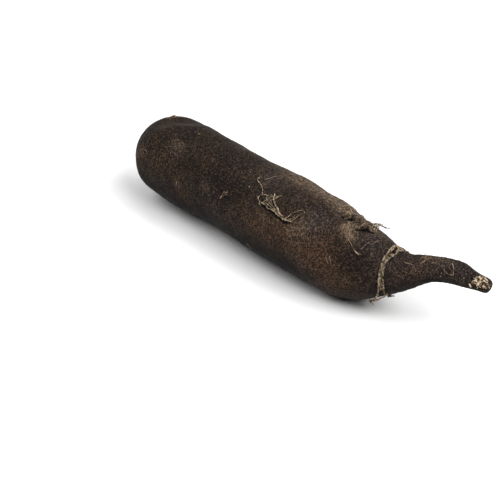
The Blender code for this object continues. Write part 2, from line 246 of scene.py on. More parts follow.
@dataclass(frozen=True)
class RootForm:
    """The root's skin as a function of distance along it and angle round it.

    The centre line is a smooth curve through the spine's rows. The skin is a ring round each of its
    points, as wide as the radius and its relief. Its ends are rounded like a squarish ellipse, and the
    belly is cut flat where it rests.
    """

    # Rows of x, y, z and radius.
    spine: Places = table("""
        -0.4 5.6 36.8 29, 27 1.6 33.8 31, 75 2.8 30.1 30.6, 125 3 29.4 30.8, 170 2.7 29 30.2,
        203 2.5 27.7 26.9, 224 5 30.3 21.8, 240.5 10 32.4 13.5, 258 19 38.4 8.6, 276 26.3 39.3 7.3,
        296.6 30 38.1 4.9""")
    box_middle: tuple[float, float, float] = (145.9, 2.7, 0.0)
    # How long each end's rounding is, and how square.
    crown_rounding: tuple[float, float] = (34.0, 2.4)
    tip_rounding: tuple[float, float] = (5.0, 2.6)
    scar_radius: float = 9.5
    scar_height: float = 1.1
    scar_slope: float = 2.5
    stub_radius: float = 5.6
    stub_height: float = 2.5
    stub_slope: float = 2.2
    stub_lobes: int = 5
    stub_lobe_height: float = 0.5
    heart_radius: float = 2.6
    heart_depth: float = 1.1
    # Height, lobes round the root, length of one swell along it, and phase in degrees.
    swells: Places = table("""
        0.45 1 95 20, 0.35 2 140 200, 0.3 3 62 80, 0.2 5 41 310, 0.14 4 24 130""")
    swell_full_radius: float = 31.0
    # Swellings and hollows: distance, angle, half length, half width and height.
    humps: Places = table("""
        21 2 4.5 4 0.4, 52 -48 15 12 0.8, 143 -42 18 10 1.6, 176 -46 10 8 0.9, 193.5 -15 5 3.6 1.9,
        200 -8 4.2 2.6 -1.7, 203 -22 5 3.6 0.9, 211.5 -16.5 6 4 1.9, 216 -3.5 4.6 2.6 -1.8,
        216.5 -24 3.6 3.6 1, 222 43.5 3 3 0.6, 148 38 12 6 0.7, 100 215 22 10 -0.8, 58 -95 18 12 0.9,
        238 60 7 8 0.5, 272 -40 6 5 0.8, 18 4 10 14 -2.8, 29 -18 11 15 -2.6, 42 -34 11 12 1,
        14 42 8 11 -0.8, 18 84 8 12 1, 23 114 9 11 2.2, 36 130 10 10 0.9, 62 134 13 12 0.6,
        66 -46 14 12 -0.4, 97 134 18 12 -1.2, 108 -47 15 12 -0.9, 128 134 13 12 0.5, 154 134 12 11 -0.4,
        160 -47 11 11 0.4, 180 -47 9 11 0.6, 196 -46 9 11 -0.6, 200 132 12 12 1.6, 276 125 8 6 -0.5,
        281 -30 6 5 1.2, 292 110 6 6 -0.5, 293 -30 5 5 -1, 298 140 5 6 -0.6""")
    break_distance: float = 300.0
    break_angle: float = 46.0
    break_length: float = 7.5
    break_spread: float = 62.0
    break_depth: float = 1.7

    @property
    def spine_at(self) -> Array:
        """The distance of each spine row from the crown."""
        return lengths_along(np.array(self.spine)[:, :3])

    @property
    def length(self) -> float:
        """The root's whole length along its centre line."""
        return float(self.spine_at[-1])

    def radius_at(self, distance: Array) -> Array:
        """The root's own radius at each distance, in the shape of the distances."""
        return np.interp(distance, self.spine_at, np.array(self.spine)[:, 3])

    def centre(self, distance: Array) -> tuple[Array, Array, Array, Array, Array]:
        """The centre line and the directions across it.

        Args:
            distance: Distances along the root, in one row.

        Returns:
            The points, the radii, and the forward, near-side and upward directions.
        """
        nudge = 0.2
        rows, at = np.array(self.spine), self.spine_at
        here = through(rows, at, distance)
        ahead = through(rows, at, np.minimum(distance + nudge, self.length))
        behind = through(rows, at, np.maximum(distance - nudge, 0.0))
        forward = unit((ahead - behind)[:, :3])
        near = unit(np.cross(forward, (0.0, 0.0, 1.0)))
        return here[:, :3], here[:, 3], forward, near, np.cross(near, forward)

    def rounding(self, distance: Array) -> Array:
        """The share of its full radius that the root has, along a squarish ellipse at each end.

        Args:
            distance: Distances along the root.

        Returns:
            Shares from 0, at the ends, to 1.
        """
        share = np.ones_like(distance)
        for inside, (length, power) in (
            (distance, self.crown_rounding),
            (self.length - distance, self.tip_rounding),
        ):
            rest = 1.0 - np.clip(inside / length, 0.0, 1.0)
            share = share * (1.0 - rest**power) ** (1.0 / power)
        return share

    def relief(self, distance: Array, angle: Array, radius: Array) -> Array:
        """How far the skin stands out: cosine swells, bell-shaped humps, and the tip's broken hollow.

        Args:
            distance: Distances along the root.
            angle: Angles round it.
            radius: The root's radius at each place.

        Returns:
            The height of each place over its round section.
        """
        height = np.zeros_like(distance)
        for swell, lobes, length, phase in self.swells:
            height += swell * np.cos(np.radians(lobes * angle + phase) + TURN * distance / length)
        height *= np.minimum(radius / self.swell_full_radius, 1.0)
        for hump in self.humps:
            height += patch(radius, distance, angle, hump)
        along = smooth_step((distance - self.break_distance + self.break_length) / self.break_length)
        turn = np.abs(turn_between(angle, self.break_angle))
        return height - self.break_depth * (along * smooth_step(1.0 - turn / self.break_spread))

    def crown_relief(self, ring_radius: Array, angle: Array, distance: Array) -> Array:
        """How far the ring of leaf scars and the lobed stalk stub stand out: a smooth step for each.

        Args:
            ring_radius: Each place's distance from the root's axis.
            angle: Angles round the root.
            distance: Distances along it.

        Returns:
            Heights along the root's axis.
        """
        scars = self.scar_height * smooth_step((self.scar_radius - ring_radius) / self.scar_slope)
        lobes = self.stub_lobe_height * np.cos(np.radians(self.stub_lobes * angle))
        stub = (self.stub_height + lobes) * smooth_step((self.stub_radius - ring_radius) / self.stub_slope)
        into_heart = smooth_step((self.heart_radius - ring_radius) / self.heart_radius)
        heart = (self.heart_depth + lobes) * into_heart
        return np.where(distance < self.crown_rounding[0], scars + stub - heart, 0.0)

    def skin(self, distance: Array, angle: Array) -> Array:
        """Points on the skin.

        Args:
            distance: Distances along the root, in any shape.
            angle: Angles round it, in the same shape.

        Returns:
            Points in the part's frame, along a last axis.
        """
        shape = np.shape(distance)
        distance, angle = np.ravel(distance), np.ravel(angle)
        centre, radius, forward, near, up = self.centre(distance)
        rounding = self.rounding(distance)
        ring = (radius + self.relief(distance, angle, radius)) * rounding
        turn = np.radians(angle)[:, None]
        points = centre + ring[:, None] * (np.cos(turn) * up + np.sin(turn) * near)
        points -= forward * self.crown_relief(radius * rounding, angle, distance)[:, None]
        points[:, 2] = np.maximum(points[:, 2], 0.0)
        return (points - np.array(self.box_middle)).reshape(shape + (3,))

    def outward(self, distance: Array, angle: Array) -> Array:
        """The skin's outward direction: its slope round the root crossed with its slope along it.

        Args:
            distance: Distances along the root.
            angle: Angles round it.

        Returns:
            Directions along a last axis.
        """
        step, turn = 0.5, 1.0
        inside = np.clip(distance, step, self.length - step)
        along = self.skin(inside + step, angle) - self.skin(inside - step, angle)
        around = self.skin(inside, angle + turn) - self.skin(inside, angle - turn)
        return unit(np.cross(around, along))

    def above(self, distance: Array, angle: Array, height: Array) -> Array:
        """Points at a height above the skin, along its outward direction."""
        return self.skin(distance, angle) + np.asarray(height)[..., None] * self.outward(distance, angle)


@dataclass(frozen=True)
class LineFrame:
    """Where places lie beside a line on the skin laid out flat: above it is plus, below it minus."""

    signed: Array
    run: Array
    length: float

    def ends(self, taper: float) -> Array:
        """0 at and past the line's ends, and 1 once a place is a taper's length inside them."""
        return smooth_step(self.run / taper) * smooth_step((self.length - self.run) / taper)


def beside_line(form: RootForm, distance: Array, angle: Array, line: Places) -> LineFrame:
    """Finds each place's distance from the nearest point of a line, and how far along that point is.

    Args:
        form: The root.
        distance: Distances along the root.
        angle: Angles round it.
        line: The line's places.

    Returns:
        The places' frame.
    """
    middle = float(np.mean([turn for _, turn in line]))
    reach = float(form.radius_at(np.mean([along for along, _ in line])))
    x, y = distance, np.radians(turn_between(angle, middle)) * reach
    corners = [np.array((along, math.radians(turn - middle) * reach)) for along, turn in line]
    best = np.full(np.shape(distance), 1e6)
    side, run, passed = np.ones_like(best), np.zeros_like(best), 0.0
    for start, end in zip(corners[:-1], corners[1:]):
        step = end - start
        size = float(np.hypot(*step))
        share = np.clip(((x - start[0]) * step[0] + (y - start[1]) * step[1]) / size**2, 0.0, 1.0)
        gap = np.hypot(x - start[0] - share * step[0], y - start[1] - share * step[1])
        closer = gap < best
        below = (step[0] * (y - start[1]) - step[1] * (x - start[0])) * np.sign(step[0]) > 0
        best = np.where(closer, gap, best)
        side = np.where(closer, np.where(below, -1.0, 1.0), side)
        run = np.where(closer, passed + share * size, run)
        passed += size
    return LineFrame(best * side, run, passed)


def mesh_object(name: str, points: Array, faces: Array, smooth: bool = True) -> bpy.types.Object:
    """A mesh object at the origin.

    Args:
        name: The object's name.
        points: Corner points in millimetres.
        faces: Four corner numbers a row. A triangle repeats its last one.
        smooth: Whether the faces are shaded smooth.

    Returns:
        The object, linked to the scene.
    """
    mesh = bpy.data.meshes.new(name)
    corners = [row[:3] if row[2] == row[3] else row for row in faces.tolist()]
    mesh.from_pydata((np.asarray(points) * MM).tolist(), [], corners)
    mesh.polygons.foreach_set("use_smooth", np.full(len(faces), smooth))
    mesh.update()
    made = bpy.data.objects.new(name, mesh)
    bpy.context.scene.collection.objects.link(made)
    return made


def closed_tube_faces(rings: int, sides: int) -> Array:
    """The faces of a tube with one point at each end, whose rings run the way that faces them outwards.

    Args:
        rings: How many rings the tube has between its two end points.
        sides: How many points a ring has.

    Returns:
        Corner numbers: the start point is 0, then come the rings, then the end point.
    """
    turn = np.arange(sides)
    after = (turn + 1) % sides
    first = 1 + sides * np.arange(rings - 1)[:, None]
    walls = np.stack([first + turn, first + after, first + sides + after, first + sides + turn], axis=-1)
    last = 1 + (rings - 1) * sides
    start = np.stack([0 * turn, 1 + after, 1 + turn, 1 + turn], axis=-1)
    end = np.stack([0 * turn + last + sides, last + turn, last + after, last + after], axis=-1)
    return np.concatenate([start, walls.reshape(-1, 4), end])


def set_attribute(made: bpy.types.Object, name: str, values: Array) -> None:
    """Stores one number or vector for each corner point, for a material to read.

    Args:
        made: The object.
        name: The attribute's name.
        values: A number for each point, or a row of three.
    """
    kind, key = ("FLOAT_VECTOR", "vector") if np.ndim(values) == 2 else ("FLOAT", "value")
    flat = np.ascontiguousarray(values, dtype=np.float32).ravel()
    made.data.attributes.new(name, kind, "POINT").data.foreach_set(key, flat)


class Tubes:
    """Gathers many thin closed tubes into one mesh, with a tone for each."""

    def __init__(self) -> None:
        """Starts with no tube."""
        self.points: list[Array] = []
        self.faces: list[Array] = []
        self.tones: list[Array] = []
        self.count = 0

    def add(self, centres: Array, radii: Array, sides: int, tone: Array | float,
            squash: float = 1.0) -> None:
        """Adds a tube: rings across a path, turned from a fixed upward direction, and two end points.

        Args:
            centres: The path's points.
            radii: The tube's radius at each point.
            sides: How many sides it has.
            tone: Its tone, from 0 to 1, or one for each point.
            squash: Its height over its width.
        """
        ahead = unit(np.gradient(centres, axis=0))
        across = unit(np.cross(ahead, np.array([0.21, -0.35, 0.91])))
        over = np.cross(across, ahead)
        turn = np.linspace(0.0, TURN, sides, endpoint=False)[None, :, None]
        size = np.asarray(radii)[:, None, None]
        wall = centres[:, None] + size * (
            np.cos(turn) * across[:, None] + squash * np.sin(turn) * over[:, None]
        )
        blunt = 0.6
        start = centres[0] - ahead[0] * radii[0] * blunt
        end = centres[-1] + ahead[-1] * radii[-1] * blunt
        points = capped(np.stack([start, end]), wall.reshape(-1, 3))
        points[:, 2] = np.maximum(points[:, 2], 0.0)
        self.faces.append(closed_tube_faces(len(centres), sides) + self.count)
        self.points.append(points)
        tones = np.repeat(np.broadcast_to(tone, len(centres)), sides)
        self.tones.append(capped(tones[[0, -1]], tones))
        self.count += len(points)

    def build(self, name: str) -> bpy.types.Object:
        """Makes the mesh, with the tones in its attribute named tone.

        Args:
            name: The object's name.

        Returns:
            The object.
        """
        made = mesh_object(name, np.concatenate(self.points), np.concatenate(self.faces))
        set_attribute(made, "tone", np.concatenate(self.tones))
        return made


def linear(colour: str) -> tuple[float, float, float, float]:
    """An sRGB hex colour as the linear red, green, blue and full alpha that a shader takes."""
    channels = [int(colour[k : k + 2], 16) / 255 for k in (1, 3, 5)]
    return (*(c / 12.92 if c <= 0.04045 else ((c + 0.055) / 1.055) ** 2.4 for c in channels), 1.0)


def per_mm(size: float) -> float:
    """The scale of a pattern whose blotches or cells are so many millimetres across."""
    return 1.0 / (size * MM)


SMOOTH = {"interpolation_type": "SMOOTHSTEP"}
COLOURS = {"data_type": "RGBA"}
TIMES = {"operation": "MULTIPLY", "use_clamp": True}


class Paint:
    """A node material that is built up one node at a time."""

    def __init__(self, name: str) -> None:
        """Starts a material with its Principled shader and the object's coordinates.

        Args:
            name: The real material's name.
        """
        self.material = bpy.data.materials.new(name)
        self.material.use_nodes = True
        self.tree = self.material.node_tree
        self.shader = self.tree.nodes["Principled BSDF"]
        self.place = self.add("TexCoord", out="Object")

    def add(self, kind: str, settings: dict | None = None, *values: Value, out: str | int = 0,
            **inputs: Value) -> Socket:
        """Adds a node with its settings and links.

        Args:
            kind: The node's type, without ShaderNode before it.
            settings: Properties of the node itself.
            *values: Its first inputs, in order.
            out: The output to give back.
            **inputs: More inputs, as fill takes them.

        Returns:
            The output.
        """
        node = self.tree.nodes.new("ShaderNode" + kind)
        for key, value in (settings or {}).items():
            setattr(node, key, value)
        self.fill(node, {f"n{number}": value for number, value in enumerate(values)} | inputs)
        return node.outputs[out]

    def fill(self, node: bpy.types.Node, inputs: dict[str, Value]) -> None:
        """Sets or links a node's inputs.

        Args:
            node: The node.
            inputs: Values, colours or sockets by the input's name, with underscores for spaces, or
                by its number after an n. None leaves an input as it is.
        """
        for key, value in inputs.items():
            socket = node.inputs[int(key[1:]) if key[1:].isdigit() else key.replace("_", " ")]
            if isinstance(value, Socket):
                self.tree.links.new(value, socket)
            elif value is not None:
                socket.default_value = linear(value) if isinstance(value, str) else value

    def finish(self, **inputs: Value) -> bpy.types.Material:
        """Sets the shader's own inputs and gives back the material."""
        self.fill(self.shader, inputs)
        return self.material


@dataclass(frozen=True)
class CorkSkin:
    """The black radish's corky outer skin: dead matte cork, near black, dusted and rubbed brown.

    Real cork is a net of tiny cracked scales that run round the root. It gives the eye a dry grain of
    dark pits and lighter flecks, hardly any gloss, and brown where the scales are rubbed off.
    """

    painted_shade: str = "#060403"
    body: str = "#1a1312"
    ochre: str = "#1f1811"
    crumb: str = "#857561"
    scuff: str = "#625344"
    rust: str = "#453123"
    cold: str = "#3c3533"
    pale: str = "#86745f"
    roughness: float = 0.74
    # Real cork scales are about 0.3 mm. They are drawn coarser, or they would not show.
    scale_mm: float = 0.85
    net_mm: float = 1.1
    hatch_mm: float = 1.0
    fleck_mm: float = 0.95
    dust_mm: float = 0.9
    pebble_mm: float = 2.4
    dapple_mm: float = 4.2
    cloud_mm: float = 17.0
    brightness: float = 1.08
    flake_contrast: float = 0.70
    net_contrast: float = 1.45
    hatch_contrast: float = 0.35
    round_the_root: tuple[float, float, float] = (1.0, 0.92, 0.92)
    hatched: tuple[float, float, float] = (1.0, 0.25, 0.25)

    def material(self) -> bpy.types.Material:
        """Builds the skin's material.

        The mesh's own numbers say where it is scuffed, rusty, cold or pale, and the dapple breaks each of
        them up. Over all of it the scales' grain darkens and lightens the colour, and last the mesh's
        painted shade darkens it towards near black.

        Returns:
            The material.
        """
        paint = Paint("black_radish_cork")
        add = paint.add
        along = add("Attribute", {"attribute_name": "grain"}, out="Vector")
        ringed = add("Mapping", None, along, Scale=self.round_the_root)
        hatched = add("Mapping", None, along, Scale=self.hatched)
        hatch, pebbles, dapple, cloud, dust = (
            add("TexNoise", Vector=place, Scale=per_mm(size), Detail=detail, Roughness=0.6)
            for place, size, detail in (
                (hatched, self.hatch_mm, 1.0),
                (ringed, self.pebble_mm, 2.0),
                (along, self.dapple_mm, 5.0),
                (paint.place, self.cloud_mm, 3.0),
                (paint.place, self.dust_mm, 1.0),
            )
        )
        scales, flecks = (
            add("SeparateColor", None, add("TexVoronoi", out="Color", Vector=place, Scale=per_mm(size)))
            for place, size in ((ringed, self.scale_mm), (along, self.fleck_mm))
        )
        net = add("TexVoronoi", Vector=along, Scale=per_mm(self.net_mm))
        warm = add("MapRange", SMOOTH, cloud, 0.36, 0.66)
        colour = add("Mix", COLOURS, warm, n6=self.body, n7=self.ochre, out=2)
        for name, low, high, most, tint in (
            ("rust", -0.25, 1.05, 0.92, self.rust),
            ("cold", 0.10, 0.85, 0.90, self.cold),
            ("scuff", 0.02, 0.96, 0.96, self.scuff),
            ("pale", 0.26, 0.68, 0.90, self.pale),
        ):
            mark = add("Attribute", {"attribute_name": name}, out="Fac")
            share = add("Math", TIMES, mark, add("MapRange", SMOOTH, dapple, low, high, 0.0, most))
            colour = add("Mix", COLOURS, share, n6=colour, n7=tint, out=2)
        shade: Value = self.brightness
        for pattern, low, high, most in (
            (scales, 0.10, 0.90, self.flake_contrast),
            (net, 0.30, 0.80, self.net_contrast),
            (hatch, 0.36, 0.64, self.hatch_contrast),
        ):
            lift = add("MapRange", SMOOTH, pattern, low, high, 1.0 - most / 2, 1.0 + most / 2)
            shade = add("Math", {"operation": "MULTIPLY"}, shade, lift)
        colour = add("Mix", COLOURS | {"blend_type": "MULTIPLY"}, 1.0, n6=colour, n7=shade, out=2)
        # The last mark is painted shade: near black in the scars' grooves, under the rootlets and along the
        # belly.
        for pattern, low, high, most, tint in (
            (flecks, 0.84, 0.86, 0.22, self.scuff),
            (dust, 0.68, 0.80, 0.70, self.crumb),
            (add("Attribute", {"attribute_name": "painted_shade"}, out="Fac"), 0.15, 0.75, 1.0, self.painted_shade),
        ):
            share = add("MapRange", SMOOTH, pattern, low, high, 0.0, most)
            colour = add("Mix", COLOURS, share, n6=colour, n7=tint, out=2)
        normal: Value = None
        for height, depth in ((hatch, 0.22), (pebbles, 0.18), (dapple, 0.14)):
            normal = add("Bump", Strength=1.0, Distance=depth * MM, Height=height, Normal=normal)
        rough = add("MapRange", None, scales, 0.0, 1.0, self.roughness, 0.94)
        return paint.finish(Base_Color=colour, Roughness=rough, Normal=normal, IOR=1.42,
                            Specular_IOR_Level=0.16, Sheen_Weight=0.05, Sheen_Roughness=0.3)


@dataclass(frozen=True)
class DriedFibre:
    """A dead rootlet: dry twine of fibres, dull straw brown, darker where soil stays between them."""

    name: str = "dried_rootlet_fibre"
    light: str = "#cbb496"
    dark: str = "#2b2119"
    soil: str = "#150f0b"
    blotch_mm: float = 2.4
    grain_mm: float = 0.8

    def material(self) -> bpy.types.Material:
        """Builds the fibre's material: each strand's own tone, with soil in blotches along it.

        Returns:
            The material.
        """
        paint = Paint(self.name)
        add = paint.add
        tone = add("Attribute", {"attribute_name": "tone"}, out="Fac")
        blotch, grain = (
            add("TexNoise", Vector=paint.place, Scale=per_mm(size), Detail=3.0, Roughness=0.6)
            for size in (self.blotch_mm, self.grain_mm)
        )
        colour = add("Mix", COLOURS, tone, n6=self.dark, n7=self.light, out=2)
        soiled = add("MapRange", SMOOTH, blotch, 0.48, 0.64, 0.0, 0.80)
        colour = add("Mix", COLOURS, soiled, n6=colour, n7=self.soil, out=2)
        frayed = add("Math", TIMES, add("MapRange", SMOOTH, grain, 0.58, 0.74, 0.0, 0.5), tone)
        colour = add("Mix", COLOURS, frayed, n6=colour, n7=self.light, out=2)
        normal = add("Bump", Strength=1.0, Distance=0.15 * MM, Height=grain)
        return paint.finish(Base_Color=colour, Roughness=0.85, Normal=normal, IOR=1.45,
                            Specular_IOR_Level=0.25)


@dataclass(frozen=True)
class TornFlesh:
    """Dried flesh where the tail broke: pale fibrous crumbs, tan in the hollows between them."""

    pale: str = "#c9b79c"
    tan: str = "#77604a"
    brown: str = "#2b1e15"
    crumb_mm: float = 1.1
    grain_mm: float = 0.6

    def material(self) -> bpy.types.Material:
        """Builds the flesh's material: hollows, which the mesh stores, go brown, and crests stay pale.

        Returns:
            The material.
        """
        paint = Paint("dried_radish_flesh")
        add = paint.add
        crumb, grain = (
            add("TexNoise", Vector=paint.place, Scale=per_mm(size), Detail=detail, Roughness=0.6)
            for size, detail in ((self.crumb_mm, 3.0), (self.grain_mm, 2.0))
        )
        tone = add("Attribute", {"attribute_name": "tone"}, out="Fac")
        rise = add("MapRange", SMOOTH, crumb, 0.38, 0.66, 0.0, 0.4)
        crest = add("Math", {"operation": "ADD", "use_clamp": True}, tone, rise)
        colour: Value = self.brown
        for low, high, tint in ((0.25, 0.60, self.tan), (0.58, 0.92, self.pale)):
            share = add("MapRange", SMOOTH, crest, low, high)
            colour = add("Mix", COLOURS, share, n6=colour, n7=tint, out=2)
        normal: Value = None
        for height, depth in ((crumb, 0.30), (grain, 0.12)):
            normal = add("Bump", Strength=1.0, Distance=depth * MM, Height=height, Normal=normal)
        return paint.finish(Base_Color=colour, Roughness=0.8, Normal=normal, IOR=1.45,
                            Specular_IOR_Level=0.3)


class Slot(Enum):
    """The record's material slots."""

    SKIN = "radish_skin"
    ROOTLET = "dried_rootlet"


def dress(made: bpy.types.Object, paint: bpy.types.Material, slot: Slot = Slot.ROOTLET,
          nodes: tuple[str, ...] = ()) -> None:
    """Gives a piece its material, its place in the model and the solids that it stands for.

    Args:
        made: The piece.
        paint: Its material.
        slot: The record's slot that its finish comes from. It is not used.
        nodes: The solids that it replaces.
    """
    made.data.materials.append(paint)
    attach(made, "root")
    if nodes:
        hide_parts(*nodes)
    made.data.calc_loop_triangles()
    log.info("%s: %d triangles", made.name, len(made.data.loop_triangles))


@dataclass(frozen=True)
class Scar:
    """A side root's scar: a slit along a line of places, with painted shade in it, under a ribbed lip that
    hangs over it.
    """

    line: Places
    lip_height: float
    lip_width: float
    depth: float
    half_width: float
    rib_mm: float
    taper_mm: float


@dataclass
class Skin:
    """The root's skin: one closed grid, with fine relief, scars, and numbers for its colours."""

    form: RootForm
    rings: int = 424
    sides: int = 228
    # The rings stand closer over the scars, by a bell curve of this height, width and middle, and past
    # the tail's last bend.
    closer: tuple[float, float, float] = (1.1, 18.0, 208.0)
    tail_closer: tuple[float, float] = (0.9, 288.0)
    # The middle of the upper side, and how far round from it the belly's painted shade starts and grows.
    lit_side: float = -47.0
    shade_start: float = 116.0
    shade_growth: float = 45.0
    # Lip height, lip width, depth, half width, rib length and taper, and then the slit's places.
    scars: tuple[Scar, ...] = tuple(Scar(*row) for row in strokes("""
        1.2 3 1.1 0.65 1.5 1: 192.4 1, 194.4 -1.6, 196.2 -2.6;
        0.3 2 1 0.6 1.5 0.9: 196.6 1.6, 197.7 -0.4, 198.2 -2.4;
        1.9 4 1.3 0.62 1.6 1.3: 196.8 -4, 197.9 -6.4, 199 -9.4, 201.6 -11.8, 203.6 -15;
        1.3 3 1.2 0.66 1.7 1.8: 211.2 7.5, 212.6 3.5, 214.1 -4.5, 217.1 -8.8, 219.5 -8.5, 222 -9.2,
            223.4 -12;
        0.8 2.2 1.2 0.7 1.5 1.2: 206.5 -35, 208.5 -42, 210 -49;"""))
    # Painted shadows under the rootlets and round the knots: half width, strength, and then places.
    painted_shadows: tuple[tuple, ...] = tuple(strokes("""
        1.3 1.1: 136.5 41, 141 45.6, 146.7 46.4, 152.8 47.2, 158.2 48.8, 163.2 50.2, 169 48.6;
        1.1 0.75: 138.4 40.2, 141.4 40.6, 146.4 42, 151.2 42.8, 156 43.8;
        0.8 0.8: 149.2 37, 152.4 41, 156 44;
        1.5 0.85: 237.6 -8, 239 2, 238.4 14;
        1.4 0.42: 237 22, 235.9 50, 235.6 76, 235.6 96;
        1.5 0.8: 235.4 102, 234.6 114, 234 126;
        0.7 0.6: 124 21.5, 129.2 25, 134.9 33.5;
        0.9 0.75: 198.4 -13, 202 -22, 206 -30;
        0.8 0.7: 205 -6, 209.5 -11, 211.6 -19;
        0.8 0.8: 221.6 -24, 222.8 -34;
        0.8 0.7: 189 -1, 191.4 -3, 192.4 -8;
        1.1 0.6: 192 -24, 195 -22, 197.4 -24;"""))
    # Pale torn edges at the knots, partly painted highlight on their crests, in the same way.
    edges: tuple[tuple, ...] = tuple(strokes("""
        0.9 0.75: 186.6 -9, 186.1 -15.5, 185.1 -25, 186.4 -31, 190.5 -36;
        0.8 1.1: 193.4 -12.6, 194.8 -10.6, 197 -10.2;
        0.8 0.9: 200.6 -18, 202 -21.5;
        0.6 0.85: 196.9 -38, 203.3 -33, 209 -22, 212 -16;
        0.6 0.6: 211 0.5, 212 -6.5, 213.6 -11.5;
        1.5 0.95: 11.5 -8, 13.2 -14, 15 -21, 16.6 -27;"""))
    # Lumps of dead tissue round the knots: distance, angle, half length, half width and height.
    lumps: Places = table("""
        190 -23 3.4 4.2 0.9, 195.2 -11.4 1.3 1.3 0.7, 201.4 -20.5 1.1 1.4 0.6, 212 -9 2 1.4 0.4,
        214.4 -18 1.8 1.8 0.6, 219 -26 1.6 2.4 0.7""")
    # Tan dusty scuffs: distance, angle, half length, half width and strength.
    scuffs: Places = table("""
        146 -25 17 9 1.05, 170 -26 18 9 1.05, 186 -24 14 8 0.9, 190 -12 6 5 0.6, 205 -28 12 6 0.75,
        202 9 6 4.5 0.75, 211 19 5.5 4 0.95, 207 2 5 4 0.8, 222 -20 8 5 0.65, 122 -32 14 6 0.7,
        96 -38 20 5 0.4, 51 36 4.5 3.5 0.5, 46 31 4.5 3.5 0.35, 90 62 6 5 0.3, 61 80 4 3 0.65,
        146 58 15 6 0.5, 176 54 9 9 0.5, 24 66 6 5 0.4, 60 210 16 10 0.45, 150 -110 20 10 0.5,
        90 -140 18 9 0.4, 266 2 7 5 0.4""")
    # Warm brown patches, and then cold grey ones, in the same way.
    rusts: Places = table("""
        148 68 19 10 1.05, 178 62 17 12 1, 196 74 15 10 1, 212 98 11 9 0.75, 158 -16 20 12 0.6,
        200 30 14 12 0.6, 68 96 9 7 0.6, 40 60 16 12 0.35, 120 -60 26 16 0.55, 60 170 26 16 0.55,
        190 170 20 14 0.65, 255 60 14 8 0.6""")
    colds: Places = table("""
        184 34 10 9 1, 178 92 12 8 0.3, 132 6 16 12 0.5, 106 100 26 14 0.5, 226 4 9 8 0.55,
        250 40 16 12 0.45, 280 60 16 10 0.55""")
    cloud_height: float = 0.24
    cloud_spacing: float = 13.0
    pebble_height: float = 0.13
    pebble_spacing: float = 3.4
    scale_height: float = 0.07
    scale_spacing: float = 1.5
    wrinkle_height: float = 0.12
    lattice: Lattice = field(default_factory=lambda: Lattice(Seed.SKIN.value))

    def meridian(self, count: int) -> tuple[Array, Array, Array]:
        """The skin's own line from end to end.

        Args:
            count: How many points it has, crowded at both ends.

        Returns:
            The points' distances, the ring's radius there, and the steps between the points.
        """
        fine = (1.0 - np.cos(np.linspace(0.0, np.pi, count))) / 2 * self.form.length
        ring = self.form.radius_at(fine) * self.form.rounding(fine)
        return fine, ring, np.hypot(np.diff(fine), np.diff(ring))

    def ring_distances(self) -> Array:
        """Where the rings stand: at even sums of a weight over the skin's own length.

        Returns:
            Distances from just past the crown's middle to just before the tip.
        """
        fine, _, step = self.meridian(6001)
        middle = (fine[:-1] + fine[1:]) / 2
        more, width, scars = self.closer
        most, tail = self.tail_closer
        total = sums(step * (1.0 + more * bell(middle, width, scars) + most * (middle > tail)))
        return np.interp(np.linspace(0.0, total[-1], self.rings + 2)[1:-1], total, fine)

    def grain(self, distance: Array, angle: Array) -> Array:
        """The straightened root, for the pattern: the skin's own length, and the ring's two offsets.

        Args:
            distance: Distances along the root.
            angle: Angles round it.

        Returns:
            A point for each place.
        """
        fine, ring, step = self.meridian(3001)
        turn, reach = np.radians(angle), np.interp(distance, fine, ring)
        along = np.interp(distance, fine, sums(step))
        return np.stack([along, reach * np.sin(turn), reach * np.cos(turn)], axis=-1)

    def patches(self, rows: Places, distance: Array, angle: Array) -> Array:
        """The sum of soft patches at each place."""
        radius = self.form.radius_at(distance)
        return sum(patch(radius, distance, angle, row) for row in rows)

    def fine_height(self, distance: Array, angle: Array, grain: Array) -> Array:
        """Relief too fine for the solid: clouds of noise, rings of wrinkles, and the scars' lips.

        Args:
            distance: Distances along the root.
            angle: Angles round it.
            grain: The pattern's points.

        Returns:
            The height of each place over the plain skin.
        """
        noise = self.lattice
        height = self.cloud_height * noise.layered(grain, self.cloud_spacing, 2)
        height += self.pebble_height * noise.layered(grain + 50.0, self.pebble_spacing, 2)
        height += self.scale_height * noise.at(grain * [1.0, 0.45, 0.45] + 90.0, self.scale_spacing)
        # Wrinkles run round the neck and the tail, as thin ridges that come and go.
        slack = smooth_step((distance - 225.0) / 25.0)
        ridge = 1.0 - 2.0 * np.abs(noise.at(grain * [2.2, 0.35, 0.35] + 7.0, 3.2))
        height += self.wrinkle_height * (0.35 + slack) * np.clip(ridge, -0.5, 1.0)
        rough = 1.0 + 0.9 * noise.layered(grain + 20.0, 2.2, 2)
        height += rough * self.patches(self.lumps, distance, angle)
        for scar in self.scars:
            height += self.scar_height(scar, distance, angle, grain)
        return height

    def scar_height(self, scar: Scar, distance: Array, angle: Array, grain: Array) -> Array:
        """A scar: a steep ribbed lip over a groove.

        The lip rises from the line by a smooth step and falls away above it along a bell curve, times
        ribs, a cosine along the line, and lumps. The groove is a bell curve just below the line.

        Args:
            scar: The scar.
            distance: Distances along the root.
            angle: Angles round it.
            grain: The pattern's points.

        Returns:
            The height of each place over the plain skin.
        """
        frame = beside_line(self.form, distance, angle, scar.line)
        lumps = self.lattice.layered(grain + 130.0, 2.6, 3)
        ribs = np.cos(TURN * (frame.run + 1.2 * lumps) / scar.rib_mm)
        rise = smooth_step((frame.signed + 0.2) / 0.9)
        fall = bell(np.maximum(frame.signed, 0.0), scar.lip_width)
        lip = scar.lip_height * rise * fall * (1.0 + 1.1 * lumps + 0.14 * ribs)
        groove = bell(frame.signed, scar.half_width, -0.35) * (1.0 + 0.5 * lumps)
        return frame.ends(scar.taper_mm) * (lip - scar.depth * groove)

    def above(self, distance: Array, angle: Array, height: Array | float) -> Array:
        """Points at a height above the skin with its fine relief, along its outward direction."""
        lift = self.fine_height(distance, angle, self.grain(distance, angle)) + height
        return self.form.above(distance, angle, lift)

